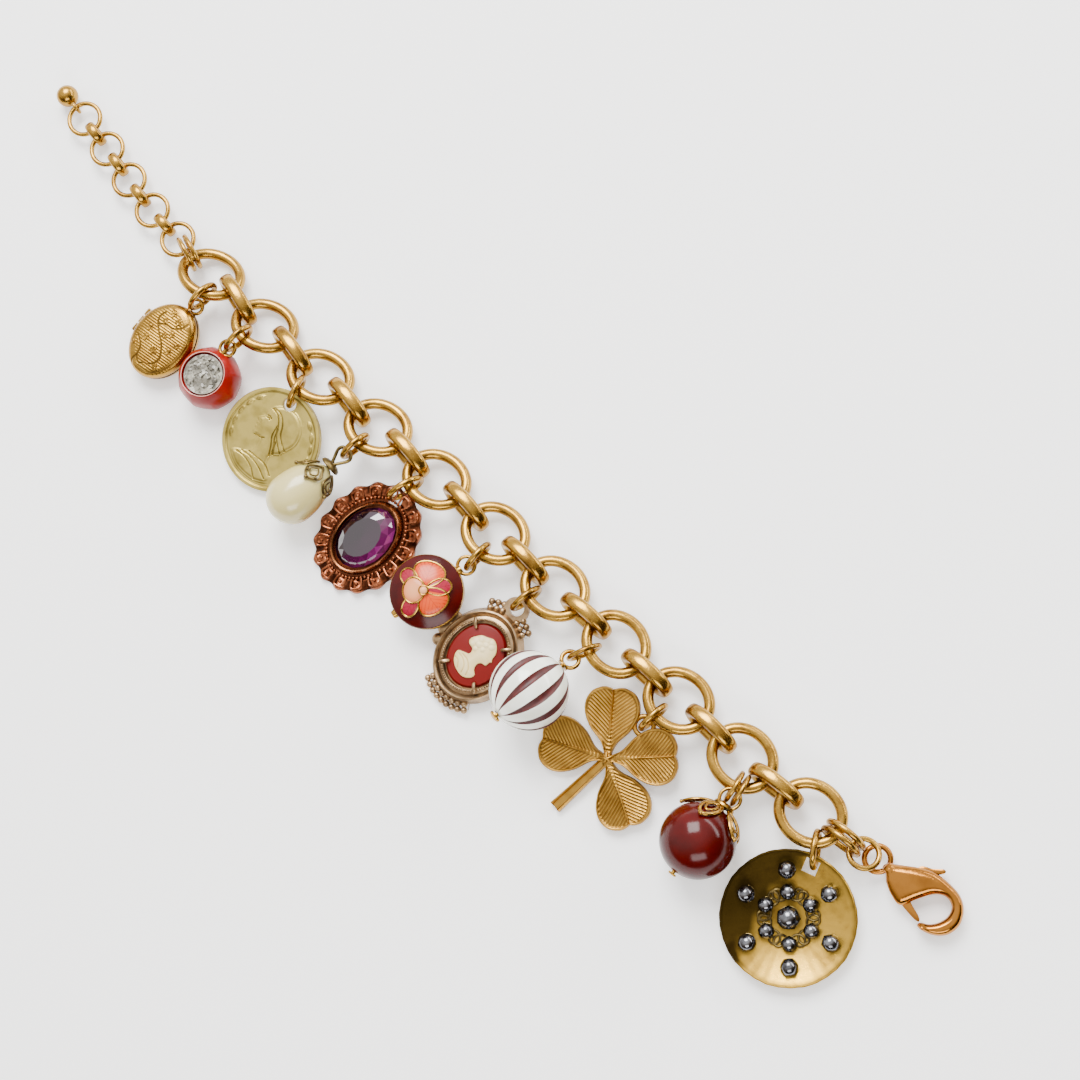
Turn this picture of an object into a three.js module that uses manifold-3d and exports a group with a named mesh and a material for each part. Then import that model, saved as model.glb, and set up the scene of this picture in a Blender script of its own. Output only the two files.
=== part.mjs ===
// A charm bracelet laid out flat: a chain of big oval links joined by upright ones, an extender with
// a ball at one end, a lobster clasp at the other, and a row of charms along one side.
// Millimetres. X runs along the chain towards the clasp, Y across it, away from the charms, Z up.
import * as THREE from "three";
import { ParametricGeometry } from "three/addons/geometries/ParametricGeometry.js";
import { mergeVertices } from "three/addons/utils/BufferGeometryUtils.js";
import Module from "manifold-3d";

const wasm = await Module();
wasm.setup();

// Air between pieces that touch on the real jewel, play between links, and the overlap of soldered parts
const AIR = 0.3;
const LINK_PLAY = 0.7;
// Room that a jump ring keeps round the wires in it
const RING_PLAY = 0.4;
const SOLDER = 0.2;
const DEGREE = Math.PI / 180;

// The chain's route from the extender's ball to the clasp, a few points chosen by hand
const ROUTE = [
    [-113.0, -1.9], [-100.9, -3.6], [-87.8, -5.6], [-71.0, -6.4], [-45.6, -5.9], [-18.8, -4.6],
    [8.1, -3.8], [34.7, -2.8], [47.5, -2.3], [60.0, -1.1], [71.4, 0.9], [90.0, 2.4],
];

// Big oval links
const MAIN_COUNT = 11;
const MAIN_LENGTH = 11.7;
const MAIN_WIDTH = 10.4;
const MAIN_WIRE = 1.8;
// How far the big links lean, from the first to the last, and how each is turned on the route
const MAIN_ROLL_FIRST = -30 * DEGREE;
const MAIN_ROLL_LAST = -4 * DEGREE;
const MAIN_TWIST_DEG = [12, 9, 8, 8, 6, 4, 2, -6, 6, -4, 0];

// Upright links between them, bent from a flatter band
const JOINING_LENGTH = 9.8;
const JOINING_HEIGHT = 6.8;
const JOINING_BAND = 2.2;
const JOINING_WIRE = 1.7;
const JOINING_LEAN = -14 * DEGREE;

// Extender: small rings with thick domed links between them, and a ball at the free end
const EXTENDER_RINGS = 5;
const EXTENDER_RING = 6.3;
const EXTENDER_WIRE = 0.8;
const EXTENDER_JOIN_LENGTH = 4.5;
const EXTENDER_JOIN_HEIGHT = 4.4;
const EXTENDER_JOIN_WIRE = 1.3;
const EXTENDER_JOIN_BAND = 1.7;
const BALL_DIAMETER = 3.7;
const BALL_LOOP = 2.6;
const BALL_LOOP_WIRE = 0.6;

// Jump rings
const JUMP_RING = 6.0;
const JUMP_WIRE = 1.0;
const END_RING = 6.3;
const END_WIRE = 0.8;
const END_LEAN = 12 * DEGREE;
// How far the first big link lies from the extender in plan
const END_REACH = 1.6;
const OVAL_RING = 6.8;
const BUTTON_RING = 6.4;
const DARK_RING = 5.6;
const THIN_WIRE = 0.8;
// The steepest drop from a link to a charm, as a share of the jump ring's span
const RING_STEEPEST = 0.8;

// Clasp: its rings, body, hook and lever
const CLASP_RING = 7.2;
const CLASP_RING_WIRE = 1.0;
const CLASP_RING_LEAN = 10 * DEGREE;
// How far the eye's ring starts from the last big link
const CLASP_REACH = 2.6;
const EYE_RING = 5.5;
const EYE_RING_WIRE = 0.9;
const EYE_RING_LEAN = -70 * DEGREE;
const EYE_RING_HEIGHT = 3.4;
// Play of the small ring's wire in the clasp's eye, and the clasp's turn off the chain's heading
const EYE_PLAY = 0.6;
const CLASP_TURN = -7 * DEGREE;
const CLASP_LENGTH = 15.4;
const CLASP_WIDTH = 7.8;
const CLASP_THICKNESS = 3.4;
const CLASP_BEVEL = 0.8;
const CLASP_EYE = 4.8;
const CLASP_EYE_WIRE = 0.9;
const LEVER_THICKNESS = 1.0;
const LEVER_PIN = 1.0;
// The pivot from the eye's centre, in shares of the clasp's length and width
const LEVER_PIVOT = [0.38, 0.1];

// Oval locket
const LOCKET_LENGTH = 13.5;
const LOCKET_WIDTH = 10.7;
const LOCKET_THICKNESS = 3.8;
const LOCKET_BAIL = 3.0;
const LOCKET_BAIL_WIRE = 0.6;
const LOCKET_HINGE = 1.0;
const LOCKET_KNUCKLE = 1.3;

// Coral bead with a crystal disc
const CORAL_DIAMETER = 10.4;
const CORAL_HEIGHT = 7.2;
const CORAL_FACE = 7.6;
const CRYSTAL_DIAMETER = 6.6;
const CRYSTAL_THICKNESS = 1.0;
const CORAL_BAIL = 3.2;
const CORAL_BAIL_WIRE = 0.6;

// Coin
const COIN_DIAMETER = 17.0;
const COIN_THICKNESS = 1.2;
const COIN_RIM = 0.7;
const COIN_RELIEF = 0.25;
const COIN_HOLE = 2.4;
const COIN_HOLE_INSET = 2.0;
const COIN_HEAD_TURN = -12 * DEGREE;
// Leaves on each side of the head, from the top of the coin
const COIN_LEAF_DEG = [44, 60, 76, 92, 108];

// Pearl drop with a pierced cap
const PEARL_WIDTH = 8.4;
const PEARL_LENGTH = 11.8;
const PEARL_PETALS = 5;
const PEARL_CAP_WIRE = 0.6;
const PEARL_LOOP_LENGTH = 3.4;
const PEARL_LOOP_WIDTH = 2.6;
const PEARL_LOOP_WIRE = 0.6;

// Oval frame with an amethyst
const OVAL_LENGTH = 19.6;
const OVAL_WIDTH = 15.8;
const OVAL_THICKNESS = 1.2;
const OVAL_RUFFLES = 16;
const OVAL_RUFFLE_WIDTH = 2.6;
const OVAL_RUFFLE_HEIGHT = 0.35;
const AMETHYST_LENGTH = 11.4;
const AMETHYST_WIDTH = 8.2;
const AMETHYST_HEIGHT = 2.4;
const BEZEL_WALL = 0.9;
const BEZEL_HEIGHT = 1.1;
const OVAL_HOLE = 2.6;
const OVAL_HOLE_INSET = 2.0;
// How far the hole lies off the long axis
const OVAL_HOLE_TURN = 12 * DEGREE;

// Enamelled orchid bead
const ORCHID_DIAMETER = 11.9;
const ORCHID_THICKNESS = 5.4;
const ORCHID_EDGE = 1.6;
const ORCHID_RELIEF = 0.35;
const ORCHID_LOOP = 3.4;
const ORCHID_LOOP_WIRE = 0.6;

// Cameo in its frame
const CAMEO_LENGTH = 16.2;
const CAMEO_WIDTH = 13.7;
const CAMEO_THICKNESS = 1.4;
const CAMEO_RIM = 1.3;
const CAMEO_RIM_HEIGHT = 1.1;
const CAMEO_STONE_LENGTH = 10.9;
const CAMEO_STONE_WIDTH = 9.0;
const CAMEO_STONE_HEIGHT = 1.3;
const CAMEO_RELIEF = 0.5;
const CAMEO_BEAD = 1.1;
const CAMEO_BEADS_OUTER = 7;
const CAMEO_BEADS_INNER = 7;
const CAMEO_FLANGE = 1.0;
const CAMEO_BEAD_STEP = 8 * DEGREE;
const CAMEO_EAR = 4.2;
const CAMEO_HOLE = 2.4;

// Striped ball on a headed pin
const STRIPED_DIAMETER = 12.4;
const STRIPES = 12;
const STRIPE_DEPTH = 0.3;
const STRIPED_PIN = 0.7;
const STRIPED_HEAD = 2.0;
const STRIPED_LOOP = 3.4;

// Four-leaf clover
const CLOVER_REACH = 11.2;
const CLOVER_LEAF_WIDTH = 8.8;
const CLOVER_THICKNESS = 0.8;
const CLOVER_RIB = 0.35;
const CLOVER_STEM_WIDTH = 2.0;
const CLOVER_LEAF_DEG = [51, 133, 212, 338];
const CLOVER_STEM_DEG = 271;
const CLOVER_BAIL = 3.8;
const CLOVER_BAIL_WIRE = 0.8;

// Dark bead with a petalled cap
const DARK_DIAMETER = 11.7;
const DARK_PETALS = 5;
const DARK_CAP_WIRE = 0.6;
const DARK_PIN = 0.6;
const DARK_HEAD = 1.4;
const DARK_LOOP = 3.8;

// Concave button with steel beads
const BUTTON_DIAMETER = 20.8;
const BUTTON_SHEET = 0.7;
const BUTTON_DEPTH = 2.2;
const BUTTON_HOLE = 2.2;
const BUTTON_HOLE_INSET = 2.0;
const STEEL_CENTRE = 3.8;
const STEEL_INNER = 2.6;
const STEEL_OUTER = 2.9;
const STEEL_INNER_RING = 3.9;
const STEEL_OUTER_RING = 7.2;
const STEEL_COUNT = 6;
const STEEL_START_DEG = 55;

// Facets: steps round links, rings, beads and discs, and sides of their wires
const LINK_STEPS = 12;
const RING_STEPS = 10;
const WIRE_SIDES = 5;
const BEAD_STEPS = 12;
const DISC_STEPS = 20;

// The clasp's outline from the neck round the hook and back: shares of its length and width
const CLASP_OUTLINE = [
    [0.1, 0.1], [0.16, 0.17], [0.34, 0.44], [0.5, 0.59], [0.7, 0.62], [0.83, 0.57], [0.93, 0.42], [0.99, 0.18],
    [0.98, -0.06], [0.93, -0.22], [0.85, -0.34], [0.76, -0.4], [0.7, -0.39], [0.71, -0.3], [0.78, -0.2],
    [0.83, -0.05], [0.85, 0.14], [0.82, 0.31], [0.75, 0.38], [0.68, 0.36], [0.61, 0.24], [0.54, -0.02],
    [0.46, -0.34], [0.33, -0.32], [0.22, -0.22], [0.15, -0.1], [0.1, -0.08],
];
// The slot that the lever swings in, and the lever from its thumb piece past the pivot to the gate
const CLASP_SLOT = [[0.22, -0.6], [0.59, -0.6], [0.59, 0.9], [0.22, 0.9]];
const CLASP_LEVER = [
    [0.32, 0.24], [0.345, 0.48], [0.44, 0.6], [0.52, 0.74], [0.555, 0.7], [0.5, 0.52], [0.455, 0.28],
    [0.45, 0.06], [0.49, -0.13], [0.67, -0.25], [0.665, -0.34], [0.44, -0.3], [0.36, -0.16], [0.315, 0.06],
];

// The cameo's bust: a plain classical profile looking towards +X, in shares of the stone's length
const CAMEO_BUST = [
    [-0.02, 0.33], [0.06, 0.36], [0.14, 0.33], [0.2, 0.27], [0.235, 0.2], [0.24, 0.13], [0.265, 0.08],
    [0.24, 0.055], [0.235, 0.02], [0.22, -0.02], [0.15, -0.035], [0.12, -0.08], [0.13, -0.15], [0.19, -0.22],
    [0.16, -0.3], [0.06, -0.36], [-0.06, -0.35], [-0.18, -0.29], [-0.25, -0.19], [-0.25, -0.1], [-0.17, -0.06],
    [-0.09, -0.03], [-0.1, 0.04], [-0.19, 0.07], [-0.22, 0.14], [-0.18, 0.22], [-0.12, 0.29],
];

// The coin's head in a soft cap: a plain classical profile looking towards -X, in shares of its diameter
const COIN_HEAD = [
    [0.02, 0.36], [-0.09, 0.335], [-0.16, 0.28], [-0.185, 0.235], [-0.2, 0.19], [-0.203, 0.165],
    [-0.196, 0.145], [-0.238, 0.078], [-0.21, 0.056], [-0.218, 0.036], [-0.206, 0.02], [-0.213, 0],
    [-0.196, -0.02], [-0.2, -0.05], [-0.165, -0.075], [-0.095, -0.07], [-0.08, -0.16], [-0.12, -0.24],
    [-0.22, -0.3], [-0.24, -0.35], [-0.1, -0.42], [0.1, -0.42], [0.24, -0.35], [0.25, -0.28], [0.13, -0.2],
    [0.11, -0.12], [0.17, -0.06], [0.205, 0.02], [0.235, 0.12], [0.205, 0.24], [0.125, 0.325],
];

const SLOTS = {
    brass: { color: 0xc39a4c, roughness: 0.3, metalness: 1 },
    oldBrass: { color: 0x8d7440, roughness: 0.45, metalness: 1 },
    coinBrass: { color: 0xc8b56a, roughness: 0.4, metalness: 1 },
    copper: { color: 0xa55f3d, roughness: 0.35, metalness: 1 },
    paleGilt: { color: 0xa98e6c, roughness: 0.45, metalness: 1 },
    coral: { color: 0xc8322a, roughness: 0.25, metalness: 0 },
    crystal: { color: 0xb4b2a4, roughness: 0.5, metalness: 0 },
    pearl: { color: 0xe8e2c4, roughness: 0.3, metalness: 0 },
    amethyst: { color: 0x5a1450, roughness: 0.08, metalness: 0 },
    enamel: { color: 0x8e1a18, roughness: 0.15, metalness: 0 },
    carnelian: { color: 0xa8281c, roughness: 0.3, metalness: 0 },
    whiteEnamel: { color: 0xf0efe2, roughness: 0.3, metalness: 0 },
    darkStone: { color: 0x5e1512, roughness: 0.12, metalness: 0 },
};

const bracelet = new THREE.Group();
const route = new THREE.CatmullRomCurve3(ROUTE.map(([x, y]) => new THREE.Vector3(x, y, 0)));
route.arcLengthDivisions = 600;

// A closed geometry as a solid that can be joined and cut
function solid(geometry) {
    if (!geometry.isBufferGeometry) return geometry;
    const bare = new THREE.BufferGeometry();
    bare.setAttribute("position", geometry.getAttribute("position").clone());
    if (geometry.index) bare.setIndex(geometry.index.clone());
    const merged = mergeVertices(bare, 1e-4);
    const corners = merged.index.array;
    const kept = [];
    for (let i = 0; i < corners.length; i += 3) {
        const [a, b, c] = [corners[i], corners[i + 1], corners[i + 2]];
        if (a !== b && b !== c && c !== a) kept.push(a, b, c);
    }
    const vertProperties = new Float32Array(merged.getAttribute("position").array);
    const make = (order) => new wasm.Manifold(
        new wasm.Mesh({ numProp: 3, vertProperties, triVerts: new Uint32Array(order) }));
    const body = make(kept);
    if (body.volume() > 0) return body;
    return make(kept.reverse());
}

function join(...shapes) {
    return shapes.flat().map(solid).reduce((sum, body) => sum.add(body));
}

function cut(shape, ...tools) {
    return tools.flat().map(solid).reduce((rest, tool) => rest.subtract(tool), solid(shape));
}

// A joined or cut solid back as a geometry with flat facets
function geometryOf(body) {
    const mesh = body.getMesh();
    const geometry = new THREE.BufferGeometry();
    geometry.setAttribute("position", new THREE.BufferAttribute(new Float32Array(mesh.vertProperties), 3));
    geometry.setIndex(new THREE.BufferAttribute(new Uint32Array(mesh.triVerts), 1));
    geometry.computeVertexNormals();
    return geometry;
}

// A piece as a named mesh with a finish of its own, shifted to the origin that it is hung by
function piece(name, shape, slot, parent = bracelet, shift = [0, 0, 0]) {
    const geometry = geometryOf(solid(shape)).translate(...shift);
    const mesh = new THREE.Mesh(geometry, new THREE.MeshStandardMaterial(SLOTS[slot]));
    mesh.name = name;
    parent.add(mesh);
    return mesh;
}

// A geometry sized, turned about X, then Y, then Z, and moved
function placed(geometry, { at = [0, 0, 0], turn = [0, 0, 0], size = [1, 1, 1] } = {}) {
    const matrix = new THREE.Matrix4().compose(
        new THREE.Vector3(...at),
        new THREE.Quaternion().setFromEuler(new THREE.Euler(...turn, "ZYX")),
        new THREE.Vector3(...size));
    return geometry.clone().applyMatrix4(matrix);
}

// A wire bent round an oval: a section of one width across and another along Z
function ovalLink(length, width, across, along, steps, sides) {
    const a = (length - across) / 2;
    const b = (width - across) / 2;
    return new ParametricGeometry((u, v, target) => {
        const round = u * 2 * Math.PI;
        const turn = (v + 0.5 / sides) * 2 * Math.PI;
        const outward = new THREE.Vector2(b * Math.cos(round), a * Math.sin(round)).normalize();
        const reach = across / 2 * Math.cos(turn);
        target.set(a * Math.cos(round) + outward.x * reach, b * Math.sin(round) + outward.y * reach,
            along / 2 * Math.sin(turn));
    }, steps, sides);
}

// A round wire along any closed path
function wireLoop(path, wire, steps, sides = WIRE_SIDES) {
    const curve = new THREE.CatmullRomCurve3(path, true);
    const frames = curve.computeFrenetFrames(steps, true);
    return new ParametricGeometry((u, v, target) => {
        const i = Math.round(u * steps) % steps;
        const turn = v * 2 * Math.PI;
        target.copy(curve.getPointAt(i / steps));
        target.addScaledVector(frames.normals[i], wire / 2 * Math.cos(turn));
        target.addScaledVector(frames.binormals[i], wire / 2 * Math.sin(turn));
    }, steps, sides);
}

function ringShape(outer, wire, placing = {}, steps = RING_STEPS, sides = WIRE_SIDES) {
    return placed(new THREE.TorusGeometry((outer - wire) / 2, wire / 2, sides, steps), placing);
}

// A turned body about Z from radius and height pairs, then narrowed in X to an oval
function turned(profile, steps, oval = 1) {
    const points = profile.map(([r, z]) => new THREE.Vector2(r, z));
    return placed(new THREE.LatheGeometry(points, steps), { turn: [Math.PI / 2, 0, 0], size: [oval, 1, 1] });
}

// A bar of round section along Y
function bar(diameter, length, at = [0, 0, 0], sides = 8) {
    return placed(new THREE.CylinderGeometry(diameter / 2, diameter / 2, length, sides), { at });
}

// A round bar along Z
function post(diameter, height, at = [0, 0, 0], sides = RING_STEPS) {
    return placed(new THREE.CylinderGeometry(diameter / 2, diameter / 2, height, sides),
        { at, turn: [Math.PI / 2, 0, 0] });
}

// A flat outline with thickness, from z = 0 up
function plate(points, thickness, placing = {}) {
    const shape = new THREE.Shape(points.map(([x, y]) => new THREE.Vector2(x, y)));
    const settings = { depth: thickness, bevelEnabled: false, steps: 1 };
    return placed(new THREE.ExtrudeGeometry(shape, settings), placing);
}

// A plate with both rims bevelled: its outline is drawn in less where the outline runs close to itself
function bevelled(points, thickness, bevel) {
    const count = points.length;
    const flat = points.map(([x, y]) => new THREE.Vector2(x, y));
    const way = THREE.ShapeUtils.isClockWise(flat) ? 1 : -1;
    const inner = flat.map((point, i) => {
        const along = flat[(i + 1) % count].clone().sub(flat[(i + count - 1) % count]).normalize();
        const across = flat.filter((_, j) => Math.min(Math.abs(i - j), count - Math.abs(i - j)) > 2)
            .reduce((least, other) => Math.min(least, other.distanceTo(point)), Infinity);
        const inset = Math.min(bevel, across * 0.3) * way;
        return new THREE.Vector2(along.y * inset, -along.x * inset).add(point);
    });
    const rings = [[inner, 0], [flat, bevel], [flat, thickness - bevel], [inner, thickness]];
    const corners = rings.flatMap(([ring, z]) => ring.flatMap(({ x, y }) => [x, y, z]));
    const caps = THREE.ShapeUtils.triangulateShape(flat, []);
    const order = [];
    for (const [a, b, c] of caps) order.push(a, c, b, a + 3 * count, b + 3 * count, c + 3 * count);
    for (let row = 0; row < 3; row += 1) {
        for (let i = 0; i < count; i += 1) {
            const [a, b] = [row * count + i, row * count + (i + 1) % count];
            if (way < 0) order.push(a, b, b + count, a, b + count, a + count);
            else order.push(b, a, b + count, a, a + count, b + count);
        }
    }
    const geometry = new THREE.BufferGeometry();
    geometry.setAttribute("position", new THREE.Float32BufferAttribute(corners, 3));
    geometry.setIndex(order);
    return geometry;
}

// A point of the route a distance along it, and the way the chain heads there
function station(distance) {
    const share = distance / route.getLength();
    const point = route.getPointAt(share);
    const tangent = route.getTangentAt(share);
    return { point, heading: Math.atan2(tangent.y, tangent.x) };
}

// The lowest corner of an object is set on the ground, or a rise above it
function setDown(object, rise = 0) {
    object.updateWorldMatrix(true, true);
    const box = new THREE.Box3().setFromObject(object, true);
    object.position.z += rise - box.min.z;
    object.updateWorldMatrix(true, true);
}

// Where a point of a placed piece lies in the bracelet
function whereIs(mesh, x, y, z = 0) {
    mesh.updateWorldMatrix(true, false);
    return mesh.localToWorld(new THREE.Vector3(x, y, z));
}

// The room that a jump ring leaves on each side of its centre for the middle of a wire
function roomIn(outer, wire, held) {
    return outer / 2 - wire - RING_PLAY - held;
}

// A jump ring round two wires: its plane holds both and leans by an angle
function jumpRing(name, from, to, { outer = JUMP_RING, wire = JUMP_WIRE, held, lean = 0, shift = 0 }) {
    const axis = to.clone().sub(from).normalize();
    const flat = new THREE.Vector3(0, 0, 1).cross(axis).normalize();
    const up = axis.clone().cross(flat);
    const inPlane = up.multiplyScalar(Math.cos(lean)).addScaledVector(flat, Math.sin(lean)).normalize();
    const normal = axis.clone().cross(inPlane);
    const [near, far] = held.map((radius) => roomIn(outer, wire, radius));
    const mesh = piece(name, ringShape(outer, wire), "brass");
    mesh.quaternion.setFromRotationMatrix(new THREE.Matrix4().makeBasis(axis, inPlane, normal));
    mesh.position.copy(from).lerp(to, near / (near + far)).addScaledVector(normal, shift);
    return mesh;
}

// Two jump rings side by side that stand on the ground
function ringPair(name, from, to, options) {
    const pair = new THREE.Group();
    bracelet.add(pair);
    for (const [index, side] of [-1, 1].entries()) {
        const shift = side * (options.wire + AIR) / 2;
        pair.add(jumpRing(`${name}_${index + 1}`, from, to, { ...options, shift }));
    }
    setDown(pair);
}

// The extender's rings and joining links, soldered into one body that still reads as a chain
function extender() {
    const sunk = (EXTENDER_WIRE + EXTENDER_JOIN_WIRE) / 2 - SOLDER;
    const half = (EXTENDER_RING - EXTENDER_WIRE) / 2;
    const joinHalf = (EXTENDER_JOIN_LENGTH - EXTENDER_JOIN_WIRE) / 2;
    const step = half + joinHalf - sunk;
    const height = EXTENDER_JOIN_HEIGHT / 2;
    const start = BALL_DIAMETER / 2 + (BALL_LOOP - BALL_LOOP_WIRE) / 2 + half - SOLDER;
    const parts = [];
    for (let i = 0; i < EXTENDER_RINGS; i += 1) {
        const { point, heading } = station(start + 2 * step * i);
        parts.push(ringShape(EXTENDER_RING, EXTENDER_WIRE,
            { at: [point.x, point.y, height], turn: [0, 0, heading] }));
        if (i === EXTENDER_RINGS - 1) break;
        const next = station(start + 2 * step * i + step);
        parts.push(placed(
            ovalLink(EXTENDER_JOIN_LENGTH, EXTENDER_JOIN_HEIGHT, EXTENDER_JOIN_WIRE, EXTENDER_JOIN_BAND,
                RING_STEPS, WIRE_SIDES),
            { at: [next.point.x, next.point.y, height], turn: [Math.PI / 2, 0, next.heading] }));
    }
    piece("extender_chain", join(parts), "brass");
    const loopAt = BALL_DIAMETER / 2 + (BALL_LOOP - BALL_LOOP_WIRE) / 2 - SOLDER;
    const ball = join(
        placed(new THREE.SphereGeometry(BALL_DIAMETER / 2, RING_STEPS, 8), { turn: [Math.PI / 2, 0, 0] }),
        ringShape(BALL_LOOP, BALL_LOOP_WIRE, { at: [loopAt, 0, 0], turn: [Math.PI / 2, 0, 0] }));
    const mesh = piece("extender_ball", ball, "brass");
    const { point, heading } = station(0);
    mesh.position.set(point.x, point.y, height);
    mesh.rotation.z = heading;
    const last = start + 2 * step * (EXTENDER_RINGS - 1);
    return { lastRing: station(last).point.setZ(height), half, distance: last + half };
}

// The point of a big link's wire that faces a direction
function endFacing(link, direction) {
    const a = (MAIN_LENGTH - MAIN_WIRE) / 2;
    const b = (MAIN_WIDTH - MAIN_WIRE) / 2;
    link.updateWorldMatrix(true, false);
    const local = direction.clone().applyQuaternion(link.quaternion.clone().invert());
    const reach = Math.hypot(a * local.x, b * local.y);
    return whereIs(link, a * a * local.x / reach, b * b * local.y / reach);
}

// The big links, each leaning and turned a little, and the upright links between them
function mainChain(firstAt) {
    const touching = (MAIN_WIRE + JOINING_WIRE) / 2 + LINK_PLAY;
    const pitch = MAIN_LENGTH - MAIN_WIRE + JOINING_LENGTH - JOINING_WIRE - 2 * touching;
    const seat = JOINING_WIRE + LINK_PLAY + MAIN_WIRE / 2;
    const links = [];
    for (let i = 0; i < MAIN_COUNT; i += 1) {
        const { point, heading } = station(firstAt + pitch * i);
        const roll = THREE.MathUtils.lerp(MAIN_ROLL_FIRST, MAIN_ROLL_LAST, i / (MAIN_COUNT - 1));
        const link = piece(`main_link_${String(i + 1).padStart(2, "0")}`,
            ovalLink(MAIN_LENGTH, MAIN_WIDTH, MAIN_WIRE, MAIN_WIRE, LINK_STEPS, WIRE_SIDES), "brass");
        link.rotation.set(roll, 0, heading + MAIN_TWIST_DEG[i % MAIN_TWIST_DEG.length] * DEGREE, "ZYX");
        const lowSide = (MAIN_WIDTH - MAIN_WIRE) / 2 * Math.sin(-roll);
        link.position.set(point.x, point.y, Math.max(seat, MAIN_WIRE / 2 + lowSide));
        links.push(link);
    }
    for (let i = 0; i + 1 < links.length; i += 1) {
        const towards = links[i + 1].position.clone().sub(links[i].position);
        const from = endFacing(links[i], towards);
        const to = endFacing(links[i + 1], towards.clone().negate());
        const shape = ovalLink(JOINING_LENGTH, JOINING_HEIGHT, JOINING_WIRE, JOINING_BAND,
            LINK_STEPS, WIRE_SIDES);
        const link = piece(`joining_link_${String(i + 1).padStart(2, "0")}`, shape, "brass");
        link.rotation.set(Math.PI / 2 + JOINING_LEAN, 0, Math.atan2(to.y - from.y, to.x - from.x), "ZYX");
        link.position.set((from.x + to.x) / 2, (from.y + to.y) / 2, 0);
        setDown(link);
    }
    return { links, pitch };
}

// The direction in plan that a charm hangs in: degrees from -Y, towards the clasp
function hangingWay(degrees) {
    return new THREE.Vector3(Math.sin(degrees * DEGREE), -Math.cos(degrees * DEGREE), 0);
}

function holderFor() {
    const holder = new THREE.Group();
    bracelet.add(holder);
    return holder;
}

// A charm lying on the ground, its near end tipped up until a taut jump ring reaches it from a big link.
// Its holder's origin is the middle of the wire or rim that the ring goes round.
function hang({ holder, rim }, names, place) {
    const { link, face, way = face, turn, tip = 0, side = 0, rise = 0, slack = 0 } = place;
    const { outer = JUMP_RING, wire = JUMP_WIRE, lean = 0, steep = RING_STEEPEST } = place;
    const from = endFacing(chain.links[link - 1], hangingWay(face));
    const held = [MAIN_WIRE / 2, rim];
    const span = roomIn(outer, wire, held[0]) + roomIn(outer, wire, held[1]);
    let drop = Infinity;
    for (let more = 0; drop > (span - slack) * steep; more += 1) {
        holder.rotation.set((tip + more) * DEGREE, side * DEGREE, turn * DEGREE, "ZXY");
        setDown(holder, rise);
        drop = from.z - holder.position.z;
    }
    const to = hangingWay(way).multiplyScalar(Math.sqrt((span - slack) ** 2 - drop ** 2)).add(from);
    holder.position.set(to.x, to.y, holder.position.z);
    holder.updateWorldMatrix(true, true);
    names.forEach((name, index) => {
        const shift = (index - (names.length - 1) / 2) * (wire + AIR);
        jumpRing(name, from, holder.position, { outer, wire, held, shift, lean: lean * DEGREE });
    });
}

// Two half shells on a knuckled hinge along the left side, and a bail ring at the top
function locket() {
    const holder = holderFor();
    const half = (LOCKET_THICKNESS - AIR) / 2;
    const long = LOCKET_LENGTH / 2;
    const oval = LOCKET_WIDTH / LOCKET_LENGTH;
    const back = [[0, 0], [long * 0.8, 0], [long * 0.94, half * 0.3], [long, half * 0.75], [long, half],
        [0, half]];
    const lid = [[0, 0], [long, 0], [long, half * 0.25], [long * 0.94, half * 0.7], [long * 0.8, half],
        [0, half * 1.1]].map(([r, z]) => [r, z + half + AIR]);
    const hinge = [-LOCKET_WIDTH / 2 - LOCKET_HINGE * 0.1, LOCKET_THICKNESS / 2];
    const knuckle = (y, grow = 0) =>
        bar(LOCKET_HINGE + 2 * grow, LOCKET_KNUCKLE + 2 * grow, [hinge[0], y, hinge[1]]);
    const ends = [-1, 1].map((way) => way * (LOCKET_KNUCKLE + AIR));
    const bailAt = long + LOCKET_BAIL / 2 - LOCKET_BAIL_WIRE * 0.75;
    const backShell = join(
        cut(turned(back, DISC_STEPS, oval), knuckle(0, AIR)),
        ends.map((y) => knuckle(y)),
        ringShape(LOCKET_BAIL, LOCKET_BAIL_WIRE, { at: [0, bailAt, half * 0.7] }));
    const lidShell = join(cut(turned(lid, DISC_STEPS, oval), ends.map((y) => knuckle(y, AIR))), knuckle(0));
    const shift = [0, -bailAt - (LOCKET_BAIL - LOCKET_BAIL_WIRE) / 2, -half * 0.7];
    piece("locket_back", backShell, "brass", holder, shift);
    piece("locket_front", lidShell, "brass", holder, shift);
    return { holder, rim: LOCKET_BAIL_WIRE / 2 };
}

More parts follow.
